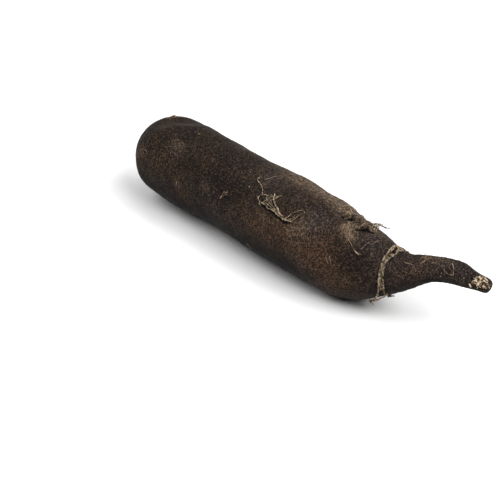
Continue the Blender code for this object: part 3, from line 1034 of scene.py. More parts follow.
    def marks(self, distance: Array, angle: Array, grain: Array) -> dict[str, Array]:
        """How scuffed, rusty, cold and pale each place is, and how much painted shade it gets.

        Each is a sum of soft patches times a cloud of noise, or the strongest of its lines, plus what
        the scars add.

        Args:
            distance: Distances along the root.
            angle: Angles round it.
            grain: The pattern's points.

        Returns:
            A number from 0 to 1.2 for each place, under each name.
        """
        worn = Lattice(Seed.PATCHES.value)
        ragged = 1.0 + 0.75 * worn.layered(grain, 9.0, 3)
        body = 1.0 - 0.6 * smooth_step((distance - 225.0) / 15.0)
        found = {}
        for name, rows in (("scuff", self.scuffs), ("rust", self.rusts), ("cold", self.colds)):
            found[name] = self.patches(rows, distance, angle) * ragged
        for name, most, offset, spacing, bias in (
            ("scuff", 0.13, 31.0, 14.0, 0.2),
            ("rust", 0.22, 67.0, 18.0, 0.1),
        ):
            chance = smooth_step(worn.layered(grain + offset, spacing, 2) * 2.2 - bias)
            found[name] += most * body * chance
        found |= {name: np.zeros_like(distance) for name in ("painted_shade", "pale")}
        # Each scar's groove gets painted shade, as if shadowed under its lip.
        for scar in self.scars:
            frame = beside_line(self.form, distance, angle, scar.line)
            ends = frame.ends(scar.taper_mm)
            # The lip's crest is painted pale and scuffed: partly torn tissue, partly painted highlight.
            crest = ends * bell(frame.signed, 1.9, 2.2)
            ribs = 0.5 + 0.5 * np.cos(TURN * frame.run / scar.rib_mm)
            found["painted_shade"] = np.maximum(found["painted_shade"], ends * bell(frame.signed, scar.half_width, -0.35))
            found["pale"] = np.maximum(found["pale"], crest * (0.10 + 0.30 * ribs))
            found["scuff"] += 0.35 * crest
        # Painted shadows under the rootlets and by the knots go into the painted shade, and the pale edges
        # into pale.
        for name, rows, uneven, spacing in (
            ("painted_shade", self.painted_shadows, 0.5, 1.5),
            ("pale", self.edges, 0.8, 1.6),
        ):
            cloud = 1.0 + uneven * worn.at(grain, spacing)
            for line, half_width, strength in rows:
                beside = beside_line(self.form, distance, angle, line).signed
                found[name] = np.maximum(found[name], strength * bell(beside, half_width) * cloud)
        # Painted shade darkens the belly side, the one turned down to the floor.
        round_from = np.abs(turn_between(angle, self.lit_side))
        under = smooth_step((round_from - self.shade_start) / self.shade_growth)
        under *= 1.0 - 0.7 * bell(distance, 20.0, 212.0)
        found["painted_shade"] = np.maximum(found["painted_shade"], 0.56 * under * (1.0 + 0.3 * worn.at(grain, 4.0)))
        return {name: np.clip(values, 0.0, 1.2) for name, values in found.items()}

    def build(self) -> None:
        """Makes the skin: the plain form's grid, moved out by the fine relief, and its marks."""
        around = np.linspace(-180.0, 180.0, self.sides, endpoint=False)
        distance, angle = np.meshgrid(self.ring_distances(), around, indexing="ij")
        poles = np.array([0.0, self.form.length]), np.zeros(2)
        grain = self.grain(distance, angle)
        points = self.above(distance, angle, 0.0)
        points[..., 2] = np.maximum(points[..., 2], 0.0)
        every = capped(self.form.skin(*poles), points.reshape(-1, 3))
        made = mesh_object("radish_skin", every, closed_tube_faces(self.rings, self.sides))
        for name, values in self.marks(distance, angle, grain).items():
            flat = values.ravel()
            set_attribute(made, name, capped(flat[[0, -1]], flat))
        set_attribute(made, "grain", capped(self.grain(*poles), grain.reshape(-1, 3)) * MM)
        dress(made, CorkSkin().material(), Slot.SKIN, ("taproot",))


@dataclass(frozen=True)
class Line:
    """A rootlet's line over the skin: places with a height, its thickness, and how many strands it has."""

    places: Places
    thickness: float
    strands: float
    turns: float
    tone: float


def lines(text: str) -> tuple[Line, ...]:
    """Rootlets from a text of strokes, whose sizes are thickness, strands, turns and tone."""
    return tuple(Line(*row) for row in strokes(text))


@dataclass
class Rootlets:
    """Bundles of fine dry strands along lines of places, with cross strands and wisps between them."""

    skin: Skin
    name: str
    lines: tuple[Line, ...]
    nodes: tuple[str, ...] = ()
    cross_strands: int = 0
    cross_reach: tuple[float, float] = (2.0, 6.5)
    wisps: int = 2
    beads: Places = ()
    step: float = 0.5
    wander_reach: float = 0.22
    tone_spread: float = 0.5
    seed: int = Seed.TANGLES.value

    def __post_init__(self) -> None:
        """Starts the tangle's random draws and its tubes."""
        self.lattice = Lattice(Seed.TANGLES.value)
        self.draw = np.random.default_rng(self.seed)
        self.tubes = Tubes()

    def path(self, line: Line) -> tuple[Array, Array, Array]:
        """Even steps along a line.

        Args:
            line: The line.

        Returns:
            Its points, its sideways directions and its upward directions.
        """
        rows = np.array(line.places)
        arc = lengths_along(self.skin.above(*rows.T))
        count = max(8, int(arc[-1] / self.step) + 1)
        distance, angle, height = through(rows, arc, np.linspace(0.0, arc[-1], count)).T
        centres = self.skin.above(distance, angle, height)
        up = self.skin.form.outward(distance, angle)
        return centres, unit(np.cross(unit(np.gradient(centres, axis=0)), up)), up

    def wander(self, points: Array, reach: float, spacing: float = 2.2) -> Array:
        """Points moved off their line by smooth noise, up to the reach each way."""
        return points + reach * self.lattice.moves(points + self.draw.uniform(0, 99), spacing, 61.0)

    def build(self) -> None:
        """Winds each line's strands round it, then adds the cross strands, wisps and beads."""
        paths = [self.path(line) for line in self.lines]
        for line, path in zip(self.lines, paths):
            self.add_bundle(line, *path)
            for _ in range(self.wisps):
                self.add_wisp(line.tone, *path)
        self.add_cross_strands(paths)
        for *place, radius in self.beads:
            self.add_bead(place, radius)
        dress(self.tubes.build(self.name), DriedFibre().material(), nodes=self.nodes)

    def add_bundle(self, line: Line, centres: Array, side: Array, up: Array) -> None:
        """Winds a line's strands round it: each circles it at a radius that wavers, and wanders.

        The first strand is the thick pale one, and the others are thinner and browner. A strand that
        is alone keeps to the line.

        Args:
            line: The line.
            centres: Points along it.
            side: Its sideways directions.
            up: Its upward directions.
        """
        uniform = self.draw.uniform
        share = np.linspace(0.0, 1.0, len(centres))
        several = line.strands > 1
        for strand in range(int(line.strands)):
            start = TURN * (strand / line.strands + 0.15 * uniform(-1, 1))
            spin = start + TURN * line.turns * share * uniform(0.8, 1.2)
            waver = 1.0 + 0.35 * np.sin(spin * uniform(1.4, 2.6) + uniform(0, 6))
            reach = (line.thickness * (0.35 if strand == 0 else 0.85) if several else 0.0) * waver
            middle = centres + (reach * np.cos(spin))[:, None] * side
            middle = self.wander(middle + (0.55 * reach * np.sin(spin))[:, None] * up, self.wander_reach)
            own = line.thickness * (0.80 if not several else 0.50 if strand == 0 else 0.30)
            thick = own * (1.0 + 0.25 * np.sin(share * uniform(20, 40) + uniform(0, 6)))
            paler = 0.22 if strand == 0 else 0.6 * uniform(-1, 0.4)
            patchy = self.tone_spread * self.lattice.layered(middle + 300.0 + 17.0 * strand, 1.7, 2)
            tone = np.clip(line.tone + paler + patchy, 0.0, 1.0)
            self.tubes.add(middle, thick * (1.0 - 0.55 * share**3), 6, tone)

    def add_wisp(self, tone: float, centres: Array, side: Array, up: Array) -> None:
        """Adds a short hair that leaves a line and bends away from it in an arc.

        Args:
            tone: The hair's tone.
            centres: Points along the line.
            side: Its sideways directions.
            up: Its upward directions.
        """
        uniform = self.draw.uniform
        begin = int(self.draw.integers(0, max(1, len(centres) - 6)))
        length = uniform(1.0, 3.0)
        along = unit(centres[min(begin + 5, len(centres) - 1)] - centres[begin])
        t = np.linspace(0.0, 1.0, 8)[:, None]
        sideways = side[begin] * uniform(-1.1, 1.1) * length * t**1.6
        lift = up[begin] * uniform(-0.05, 0.30) * length * t
        bend = centres[begin] + along * length * 0.7 * t * self.draw.choice([-1.0, 1.0]) + sideways + lift
        self.tubes.add(bend, 0.11 * (1.0 - 0.5 * t[:, 0]), 4, tone)

    def add_cross_strands(self, paths: list[tuple[Array, Array, Array]]) -> None:
        """Adds fine strands from one line to another, each a shallow arc that wanders.

        Args:
            paths: The lines' points, sideways directions and upward directions.
        """
        uniform = self.draw.uniform
        every, _, ups = (np.concatenate(rows) for rows in zip(*paths))
        low, high = self.cross_reach
        t = np.linspace(0.0, 1.0, 12)[:, None]
        for _ in range(self.cross_strands):
            begin = int(self.draw.integers(len(every)))
            gaps = np.linalg.norm(every - every[begin], axis=1)
            options = np.flatnonzero((gaps > low) & (gaps < high))
            if not len(options):
                continue
            end = int(self.draw.choice(options))
            bow = np.sin(np.pi * t) * uniform(-0.45, 0.25) * ups[begin]
            strand = self.wander(every[begin] * (1 - t) + every[end] * t + bow, 0.45, 2.8)
            self.tubes.add(strand, np.full(12, uniform(0.08, 0.14)), 5, uniform(0.05, 0.70))

    def add_bead(self, place: list[float], radius: float) -> None:
        """Adds a knot where strands meet: a short lumpy tube, fat in its middle.

        Args:
            place: Its distance, angle and height.
            radius: Its radius.
        """
        middle = self.skin.above(*np.array(place)[:, None])[0]
        t = np.linspace(-1.0, 1.0, 7)
        line = middle + unit(self.draw.normal(size=3) * [1, 1, 0.4]) * radius * t[:, None]
        fat = radius * np.sqrt(np.maximum(1.0 - 0.85 * t**2, 0.0)) * self.draw.uniform(0.75, 1.1, 7)
        self.tubes.add(line, fat, 7, self.draw.uniform(0.6, 1.0))


FLANK_LINES = lines("""
    # The hooked stem, and the loop at its foot.
    0.38 2 4 0.66: 126.4 15.2 1, 125 16.2 1.5, 125 20.4 1.3, 129.2 23 0.9, 132.6 26 0.8, 135.9 31.5 0.9,
        137.4 35.4 0.9;
    0.44 3 4 0.7: 140.4 33.8 1, 137.6 35.5 1.3, 136.3 38.5 1.1, 137.6 42.5 1.3, 141 44.5 1, 143.4 44 1.2,
        145.4 42.6 0.9;
    0.34 2 3 0.6: 137.8 36.5 0.7, 139.7 34 1.2, 143.7 33.5 1, 147.1 31.5 1.2, 149.4 33.5 0.9;
    0.3 1 1 0.6: 139.4 43.6 0.9, 140.6 46.4 0.8, 142.2 47.6 0.5;
    # The lower strand, frayed, and the pale one over it, down to the knots.
    0.46 3 5 0.52: 141 44.5 0.8, 143.4 44.4 1, 146.7 44.7 0.9, 149.4 46.3 1.1, 152.8 45.4 1.2,
        155.8 46.5 1, 158.2 47.2 1.3, 160.9 48 1, 163.4 48.5 1.1;
    0.5 3 4.5 0.72: 147 28 1.7, 148 31 1.4, 149.4 34 1.1, 152.1 38 1.1, 155.5 40.8 1.2, 159.2 44.6 1.1,
        163.2 47 1.3, 166.9 47.6 1.1, 169.3 46.5 1.2;
    0.3 2 2 0.6: 149.4 35 0.9, 150.4 30.5 1.4, 151.1 26.8 1.6, 152.9 25.6 1.1;
    # The web of thin brown strands between them.
    0.26 2 3 0.4: 142.4 36.6 0.7, 146 38.6 1, 149.4 40.6 0.8, 152.8 42 1.1, 156.5 44 0.9, 160 45.8 1;
    0.26 2 3 0.48: 145 42.4 0.8, 148.6 42.8 0.8, 152 43.7 1.1, 156 45 0.8, 160 46.6 1;
    0.2 2 2 0.3: 143.7 34.5 0.7, 147.5 37 1, 151 40 0.7;
    0.18 2 2 0.3: 147.1 32 0.8, 146 35.5 1.1, 145.2 39 0.7, 145.8 43 0.9;
    0.2 1 1 0.4: 149.2 34.5 0.8, 147.8 37 1, 147.2 40 0.7, 147.8 44 0.9;
    # The ends that fan out to the right of the knots.
    0.24 1 1 0.8: 165 47 0.9, 166.3 42 1, 166.6 38 0.9, 167.3 34.8 0.7;
    0.22 2 2 0.42: 168.8 46.9 1, 170.7 43 1, 171.5 37 0.7, 172.8 31.8 0.8;
    0.12 1 1 0.35: 167.3 36 0.6, 169.6 31 0.8, 171.7 27.2 0.6, 173.6 28.2 0.6, 174.2 31 0.3;
    0.12 1 1 0.35: 171.2 39 0.5, 172.2 33.5 0.8, 172.4 29.5 0.5;
    0.15 1 1 0.5: 167.6 46 0.6, 169.6 41 0.7, 169.4 38 0.5;
    # Brown strands across the loop.
    0.24 2 2 0.34: 142.2 34.2 0.8, 143.4 36.8 0.9, 145.4 39.4 0.8, 147.6 41.4 0.9;
    0.22 2 2 0.26: 144.6 33.6 0.9, 144.8 37 0.8, 146.8 40 0.9;""")
FLANK_BEADS = table("""
    163.2 48.7 1 0.58, 165.4 48.2 1 0.5, 169.4 46.6 1.1 0.46, 149.4 46.4 1 0.42, 138 43 1.1 0.42""")
SHOULDER_LINES = lines("""
    # The torn stub that stands up at the root's upper edge, and its dark and pale wisps.
    0.62 4 1.6 0.42: 211.6 -33 0.2, 213.4 -40 1.8, 215 -45 3.2, 217 -46 3.9;
    0.5 3 1.2 0.25: 213 -30 0.2, 215.4 -38 1.6, 217.6 -42 2.6;
    0.62 1 1 0: 214.6 -42 2.2, 217 -46 3, 220.5 -47 3.4, 223.4 -47 4.8;
    0.15 1 1 0.25: 215.6 -42 2.2, 219 -44 2.6, 224 -45 2.8, 228.5 -45 2.4;
    # The strand along the second scar's upper side, and the brown ones round it.
    0.36 3 2 0.15: 203.5 -28 0.8, 208 -30 0.7, 211.5 -34.5 1, 214 -40 1.6;
    0.26 2 1 0.55: 206.5 -29 0.6, 205 -34 0.9, 201 -37.5 0.7;
    # The pale knob's ribs.
    0.38 2 1 0.55: 220.6 -14 0.3, 219.6 -20 1, 218.2 -28 1.2, 217.2 -34 0.8;
    0.34 2 1 0.2: 219.2 -13 0.3, 218.2 -19 1, 217 -26 1.2, 216.2 -32 0.9;
    0.3 2 1 0.45: 222 -16 0.2, 221.2 -22 0.7, 219.8 -30 0.9;
    0.36 2 1 0.1: 217.6 -12 0.3, 216.4 -17 0.9, 215.2 -23 0.9;""")
# The braid's two rims: the one nearer the crown, and the one nearer the tail.
BAND_OUTER = table("""
    250.5 -88 0.7, 246 -68 0.8, 242 -50 0.8, 240.2 -36 0.8, 238.3 -24 0.9, 237.1 -14 1.1, 236.3 0.5 0.9,
    236 16.5 1.1, 235 33 0.8, 234.8 45 1, 234.7 59 0.8, 234.6 75.5 1, 234.6 94 0.8, 233.8 111 1,
    231.7 129 0.9, 229 143 1.1, 226.2 150.5 1.4""")
BAND_INNER = table("""
    254.5 -84 0.8, 251 -70 0.8, 247 -56 0.8, 245.4 -42 0.7, 245 -28 0.9, 243.4 -15 0.8, 241.4 -3 1.1,
    240.8 11.5 0.8, 238.9 24.5 1.1, 237.1 37.5 0.8, 236.4 51.5 1.1, 236.5 64.5 0.8, 236.7 76.5 1.1,
    236.9 94.5 0.8, 236.6 111 1, 236.5 124 0.8, 236.3 134.5 1""")


def weave(first: float, last: float, period: float, start: float) -> Places:
    """A strand that swings from one rim of the braid to the other and back, over and under.

    Its share of the way across is a cosine of the angle round the root, and its height a sine.

    Args:
        first: The angle that it starts from.
        last: The angle that it ends at.
        period: The angle of one swing over and back.
        start: Where in its swing it starts, in degrees.

    Returns:
        The strand's places.
    """
    turns = np.arange(first, last, period / 8)
    near, far = (np.interp(turns, rim[:, 1], rim[:, 0]) for rim in map(np.array, (BAND_OUTER, BAND_INNER)))
    swing = np.radians(start) + TURN * (turns - first) / period
    across = near + (far - near) * (0.5 + 0.5 * np.cos(swing))
    return tuple(map(tuple, np.stack([across, turns, 0.95 + 0.35 * np.sin(swing)], axis=-1).tolist()))


BAND_LINES = (
    Line(BAND_OUTER, 0.54, 5, 12.0, 0.54),
    Line(BAND_INNER, 0.52, 5, 12.0, 0.52),
    *lines("""
    # The far rim of the eye, and the strands from it to the root's upper edge.
    0.58 5 4 0.62: 236.7 6 1, 236.7 -4 1, 237.2 -13 1.5, 238.7 -16.5 1.4, 240.4 -9 1.2, 240.6 4 1;
    0.4 3 2 0.55: 237.4 12 1, 237.5 0 1.1, 238.1 -8 1.3;
    0.44 3 2 0.5: 237.4 -15 1, 240.2 -26 0.9, 243.2 -29 0.8, 245.6 -24 0.7;
    0.42 3 2 0.5: 240.5 -8 0.9, 242.6 -14.5 0.8, 245.2 -22 0.8;
    0.24 1 1 0.5: 239.4 -16 0.8, 242.2 -20.5 1, 245 -27 0.7;"""),
    # Strands that swing across the strap: the numbers for weave, and then their sizes.
    *(Line(weave(*row[:4]), *row[4:]) for row in table("""
    14 104 27 0 0.4 4 5 0.42, 18 102 31 140 0.4 4 5 0.28, 16 100 38 70 0.4 4 5 0.12,
    18 60 18 60 0.26 2 3 0.7, 48 97 17 200 0.32 3 4 0.3""")),
    *lines("0.34 3 4 0.22: 237.2 42 0.8, 235.8 60 0.9, 235.4 80 0.8, 235.6 98 0.9;"),
)
BAND_END_LINES = lines("""
    # The foot strand along the root's lower edge, the frayed ends and the root that hangs down.
    0.72 5 3 0.95: 225.4 149 1.3, 228.4 151.5 1.6, 231.5 149 1.2, 233.8 142.5 1, 235.6 134.5 1,
        237.6 128 0.6;
    0.6 4 2 0.85: 224.6 146 1, 226.6 150 1.8, 229.6 150.5 1.8, 232.6 145 1.3;
    0.4 3 2 0.75: 233.2 122 0.7, 231.2 134 1.1, 229.6 145 0.9, 230.4 150 1.2;
    0.42 3 1 0: 226.4 140 0.8, 226.4 146 2.2, 226.8 150 5;
    0.11 1 1 0.45: 226.4 147 1.4, 225.2 150 4.2, 225.8 152 7.2;
    0.1 1 1 0.35: 228.6 150 1.6, 227 152 4, 227.6 153 6.4;""")
BAND_BEADS = table("236 132 0.9 0.45, 235.4 101 1 0.45, 241 -6 1 0.45")

# Single hairs and fibres that lie on the skin: radius, tone, and then places.
HAIRS = strokes("""
    # The straight rootlet by the tan patch, and its pale foot.
    0.17 0.95: 212.8 27 0.4, 215.5 31 0.5, 218.2 37 0.6, 220.9 42 0.5;
    0.4 0.75: 220.2 40.8 0.5, 221.4 42.4 0.5, 222.6 43.6 0.2;
    0.16 0.7: 219.8 39.4 0.4, 222.2 41.6 0.5, 223.8 42.4 0.3;
    0.12 0.9: 222.2 34 0.3, 223.2 26 0.4, 224.2 15 0.3;
    0.11 0.85: 226 19 0.2, 226.8 11 0.4, 227.8 2 0.2;
    0.08 0.6: 221 20 0.2, 222 14 0.4, 223 6 0.2;
    # The long hair above the tangle.
    0.14 0.8: 128.9 14.5 0.3, 131.6 6 0.5, 132.9 -3.5 0.3;
    0.32 1: 105.2 66.4 0.2, 106.2 63 0.6, 107.4 55 1.2;
    0.22 0.95: 107.6 58 0.3, 108.6 55.6 0.6, 109.4 54 0.4;
    0.16 0.8: 107.2 62 0.3, 108.4 59 0.6, 110.2 57.6 0.3;
    # The arc on the crown.
    0.13 0.85: 23.1 80 0.2, 21.6 76 0.5, 22.1 70.5 0.6, 24.4 64 0.5, 27.4 62.6 0.4, 29.3 66.7 0.2;
    0.1 0.8: 20.6 84 0.2, 19.6 78 0.5, 20.4 71 0.3;
    # Twigs on the top of the tail.
    0.28 0.5: 249.5 28.5 0.3, 251.6 32.4 0.5, 253.9 36 0.2;
    0.32 0.5: 258.6 34.5 0.3, 259.8 29 0.6, 261.2 22 0.4;
    0.15 0.55: 260.6 24 0.3, 260.9 6 0.9, 260.9 -14 1.2;
    0.16 0.8: 258.6 -0.5 0.4, 260.2 5 0.8, 261.8 11 0.4;
    0.14 0.7: 258.2 8 0.3, 260.6 2 0.7, 262.6 -9 0.9;
    0.16 0.45: 261.4 20 0.3, 263 8 0.8, 263.3 -12 0.7, 265.6 -14 0.5;
    0.16 0.4: 262.3 6.5 0.4, 264.6 2 0.7, 266.4 -9 0.4;
    0.13 0.45: 263.6 -14 0.5, 264.8 -4 0.8, 264.2 6 0.4;
    0.15 0.6: 257.6 20 0.3, 259.8 14 0.9, 262.4 12 0.6;
    0.14 0.55: 259 26 0.3, 261.8 16 0.9, 263.8 4 0.9;
    0.17 0.5: 259.6 -16 0.5, 260.2 -30 1, 260.4 -44 2;
    0.15 0.45: 262.6 -20 0.5, 263.6 -34 1, 265 -46 1.6;
    0.15 0.5: 257 -24 0.4, 259 -36 1, 262 -46 1.4;
    0.14 0.4: 268.6 -30 0.4, 269.4 -40 0.8, 271.6 -46 1;
    # The angle of hairs on the tail, and the specks beside it.
    0.19 1: 276.4 10.5 0.3, 278.1 30 0.4, 279.2 62 0.4;
    0.17 0.85: 279.1 64 0.3, 276.8 64 0.4, 274.8 62 0.3, 272.6 48 0.4;
    0.22 0.9: 271.2 64 0.3, 271.6 68 0.4;
    0.18 0.8: 270.8 79.5 0.3, 271.4 84 0.4;
    0.24 0.9: 283.7 67 0.3, 284.1 71 0.4;
    0.18 0.75: 287.2 60 0.3, 286.6 64.5 0.4;
    0.34 1: 53.1 1.7 0.3, 53.9 2.6 0.3;
    0.32 1: 122.8 33 0.3, 123.6 34 0.3;
    0.24 0.6: 60.7 77.7 0.2, 61 81 0.4, 61.4 84.7 0.3;
    0.18 0.6: 134.7 110.7 0.2, 135.6 115 0.4, 136.5 120.3 0.2;
    0.14 0.7: 202 62 0.2, 203.4 66 0.5, 205.6 71 0.2;
    0.14 0.7: 204.6 60 0.2, 206.4 65 0.5, 207.4 71 0.2;
    # Single rootlets on the far side.
    0.35 0.6: 85 -70 0.2, 88 -76 0.6, 95 -80 0.8;
    0.35 0.6: 178 -82 0.2, 182 -88 0.6, 188 -90 1.2;
    0.35 0.6: 66 -118 0.2, 63 -124 0.6, 58 -126 1;
    # The nub at the crown's upper edge.
    0.45 0.85: 12.6 -12 0, 13.2 -14 0.7, 14.4 -18 0.8;
    # The pale strip above the first scar.
    0.42 1: 195.4 -40.5 0.3, 198.4 -38 0.9, 202.4 -33.6 0.9, 207.2 -28.8 0.5;
    # The pale rim over the first scar's mound.
    0.24 0.8: 186.2 -15 0.3, 187.2 -24 0.7, 187.2 -33 0.7, 190.2 -38.6 0.4;
    0.26 0.95: 191.2 -18 0.5, 193.6 -15 0.9, 196.8 -13 0.6;""")


@dataclass(frozen=True)
class Tuft:
    """A patch of short fibres on the skin, which stand up from it by their lift."""

    distance: float
    angle: float
    half_length: float
    half_width: float
    fibres: float
    length: float
    radius: float
    tone: float
    lift: float


# The first scar's mound, fringe and knobs, four tufts. The second scar's mound, three. The tan patch of
# fibres below them, four. Worn cork, four. A burr under the neck, and crumbs by the crown's nub.
TUFTS = tuple(Tuft(*row) for row in table("""
    190.5 -16 5 5 60 1.8 0.09 0.45 0.4, 186.5 -20 2 5 34 1.6 0.09 0.8 0.4,
    195.4 -10.4 1.1 1.1 26 1.4 0.14 0.95 0.5, 201.2 -21.5 0.6 0.8 8 1.1 0.16 1 0.6,
    212.5 -12 4.5 4 50 1.9 0.1 0.35 0.4, 216 -20 3 4 40 1.8 0.1 0.5 0.5, 215.6 -40 2 2 22 2 0.1 0.6 0.9,
    204 6 5 4.5 60 2.4 0.08 0.85 0.2, 208.6 16 4 3.6 70 2.6 0.09 0.9 0.25,
    212.4 21 1.8 2 34 2.4 0.1 1 0.25, 203 -26 8 5 60 1.8 0.08 0.6 0.15,
    146 -30 14 6 120 1.7 0.08 0.55 0.1, 170 -28 14 6 110 1.7 0.08 0.55 0.1,
    50 36 5.5 5 60 1.9 0.08 0.55 0.1, 174 50 7 8 70 1.8 0.08 0.55 0.1,
    237.4 148 1.3 1.6 30 1.8 0.16 0 0.8, 14 -14 3 4.6 50 1.2 0.13 0.85 0.3"""))


@dataclass
class SkinHairs:
    """Single dead hairs on the skin: the ones that stand out, tufts, and a thin scatter of fine ones."""

    skin: Skin
    scattered: int = 300

    def __post_init__(self) -> None:
        """Starts with no hair."""
        self.tubes = Tubes()

    def build(self) -> None:
        """Lays every hair along a smooth line over the skin."""
        lattice = Lattice(Seed.FIBRES.value)
        draw = np.random.default_rng(Seed.FIBRES.value)
        share = np.linspace(0.0, 1.0, 14)
        for places, radius, tone in HAIRS:
            rows = np.array(places)
            centres = self.skin.above(*through(rows, np.linspace(0.0, 1.0, len(rows)), share).T)
            size = radius * (1.0 - 0.35 * share) * (1.0 + 0.2 * lattice.at(centres + 200.0, 1.3))
            self.tubes.add(centres + 0.16 * lattice.moves(centres, 2.0, 41.0), size, 6, tone)
        for tuft in TUFTS:
            self.add_tuft(draw, tuft)
        self.scatter()
        paint = DriedFibre("single_root_hair", light="#ad937b", dark="#33261d").material()
        dress(self.tubes.build("skin_hairs"), paint)

    def add_tuft(self, draw: np.random.Generator, tuft: Tuft) -> None:
        """Sets a tuft's fibres on the skin, each a short arc that heads its own way and bends over.

        Args:
            draw: The random draws.
            tuft: The tuft.
        """
        many = int(tuft.fibres)
        root = float(self.skin.form.radius_at(np.array(tuft.distance)))
        foot = draw.normal(size=(2, many, 1)) * 0.6
        heading = draw.uniform(0, TURN, (many, 1))
        length = tuft.length * draw.uniform(0.5, 1.2, (many, 1))
        t = np.linspace(0.0, 1.0, 6)
        curl = heading + draw.uniform(-0.9, 0.9, (many, 1)) * t
        along = tuft.distance + foot[0] * tuft.half_length + np.cos(curl) * length * t
        around = foot[1] * tuft.half_width + np.sin(curl) * length * t
        rise = 0.05 + tuft.lift * length * np.sin(np.pi * 0.7 * t)
        centres = self.skin.above(along, tuft.angle + np.degrees(around / root), rise)
        tones = np.clip(tuft.tone + draw.uniform(-0.5, 0.35, many), 0.0, 1.0)
        for path, tone in zip(centres, tones):
            self.tubes.add(path, tuft.radius * (1.0 - 0.5 * t), 4, tone)

    def scatter(self) -> None:
        """Scatters fine hairs, mostly lying round the root, each a shallow bend on the skin."""
        draw = np.random.default_rng(Seed.FIBRES.value + 1)
        form = self.skin.form
        spread = np.linspace(0.0, form.length, 400)
        weight = np.cumsum(form.radius_at(spread))
        t = np.linspace(-0.5, 0.5, 6)
        for _ in range(self.scattered):
            distance = float(np.interp(draw.uniform(0, weight[-1]), weight, spread))
            distance = min(max(distance, 6.0), form.length - 8.0)
            angle = draw.uniform(-150.0, 150.0)
            radius = float(form.radius_at(np.array(distance)))
            length = draw.uniform(0.8, 3.6)
            heading = draw.normal(np.pi / 2, 0.55)
            bend = draw.uniform(-0.15, 0.15) * length * (t**2 * 4 - 0.4)
            along = np.cos(heading) * length * t - np.sin(heading) * bend
            around = np.sin(heading) * length * t + np.cos(heading) * bend
            places = (distance + along, angle + np.degrees(around / radius))
            centres = self.skin.above(*places, 0.06 + 0.10 * (1 - (2 * t) ** 2))
            size = draw.uniform(0.04, 0.08) * (1.0 - 0.5 * np.abs(2 * t) ** 2)
            self.tubes.add(centres, size, 3, draw.uniform(0.0, 0.7))


@dataclass
class TornTip:
    """The torn face at the tail's end: a lumpy pillow of dried flesh, with splinters round its rim."""

    form: RootForm
    middle: tuple[float, float] = (298.0, 42.0)
    half_length: float = 5.4
    half_turn: float = 48.0
    rings: int = 34
    sides: int = 96
    splinters: int = 46
    notch: Places = table("291.4 84 0.1, 291.9 89 0.3, 292.2 95 0.3, 292.6 102 0.1")
    notch_radius: float = 0.70

    def place(self, share: Array, turn: Array) -> tuple[Array, Array]:
        """The distance and angle of a place on the oval face, from its share of the rim and its turn."""
        distance = self.middle[0] + self.half_length * share * np.cos(turn)
        return distance, self.middle[1] + self.half_turn * share * np.sin(turn)

    def build(self) -> None:
        """Makes the face: an oval whose crumbs are crests of noise, closed by a flat underside."""
        lattice = Lattice(Seed.FLESH.value)
        share = np.concatenate([np.linspace(0.03, 1.0, self.rings), np.linspace(0.97, 0.1, 8)])
        under = (np.arange(len(share)) >= self.rings)[:, None]
        turns = np.linspace(0.0, TURN, self.sides, endpoint=False)
        s, turn = np.meshgrid(share, turns, indexing="ij")
        edge = 1.0 + 0.16 * np.sin(3 * turn + 0.6) + 0.09 * np.sin(7 * turn + 2.1)
        distance, angle = self.place(s * edge, turn)
        flat = np.stack([distance, np.radians(angle) * 4.6, np.zeros_like(distance)], axis=-1)
        veins = smooth_step(np.abs(lattice.layered(flat + 23.0, 1.9, 2)) / 0.24)
        crest = smooth_step(0.45 + 1.3 * lattice.layered(flat, 1.3, 3)) * (0.15 + 0.85 * veins)
        height = 0.25 + 1.15 * crest * smooth_step((1.02 - s) / 0.25)
        height = np.where(under, -0.7, np.where(s > 0.985, -0.2, height))
        points = self.form.above(distance, angle, height)
        tone = np.where(under, 0.0, crest * smooth_step((1.05 - s) / 0.2))
        ends = self.form.above(*(np.full(2, value) for value in self.middle), np.array([0.8, -0.7]))
        faces = closed_tube_faces(len(share), self.sides)[:, ::-1]
        made = mesh_object("torn_flesh", capped(ends, points.reshape(-1, 3)), faces)
        set_attribute(made, "tone", capped(np.array([0.5, 0.0]), tone.ravel()))
        dress(made, TornFlesh().material())
        self.add_splinters()

    def add_splinters(self) -> None:
        """Adds short stiff fibres that stand up out of the torn face and lie over its rim."""
        draw = np.random.default_rng(Seed.FLESH.value)
        tubes = Tubes()
        t = np.linspace(0.0, 1.0, 5)[:, None]
        for _ in range(self.splinters):
            share, turn = np.sqrt(draw.uniform(0.02, 0.85)), draw.uniform(0, TURN)
            distance, angle = self.place(np.array([share]), np.array([turn]))
            foot = self.form.above(distance, angle, np.array([0.3]))[0]
            up = self.form.outward(distance, angle)[0]
            lean = unit(draw.normal(size=3)) * 0.8 + up * draw.uniform(0.2, 0.7)
            centres = foot + unit(lean) * draw.uniform(0.9, 2.0) * t
            tubes.add(centres, 0.22 * (1.0 - 0.75 * t[:, 0]), 4, draw.uniform(0.45, 1.0))
        notch = through(np.array(self.notch), np.linspace(0, 1, 4), np.linspace(0, 1, 10)).T
        tubes.add(self.form.above(*notch), np.full(10, self.notch_radius), 8, 0.85, 0.5)
        dress(tubes.build("torn_splinters"), TornFlesh().material())


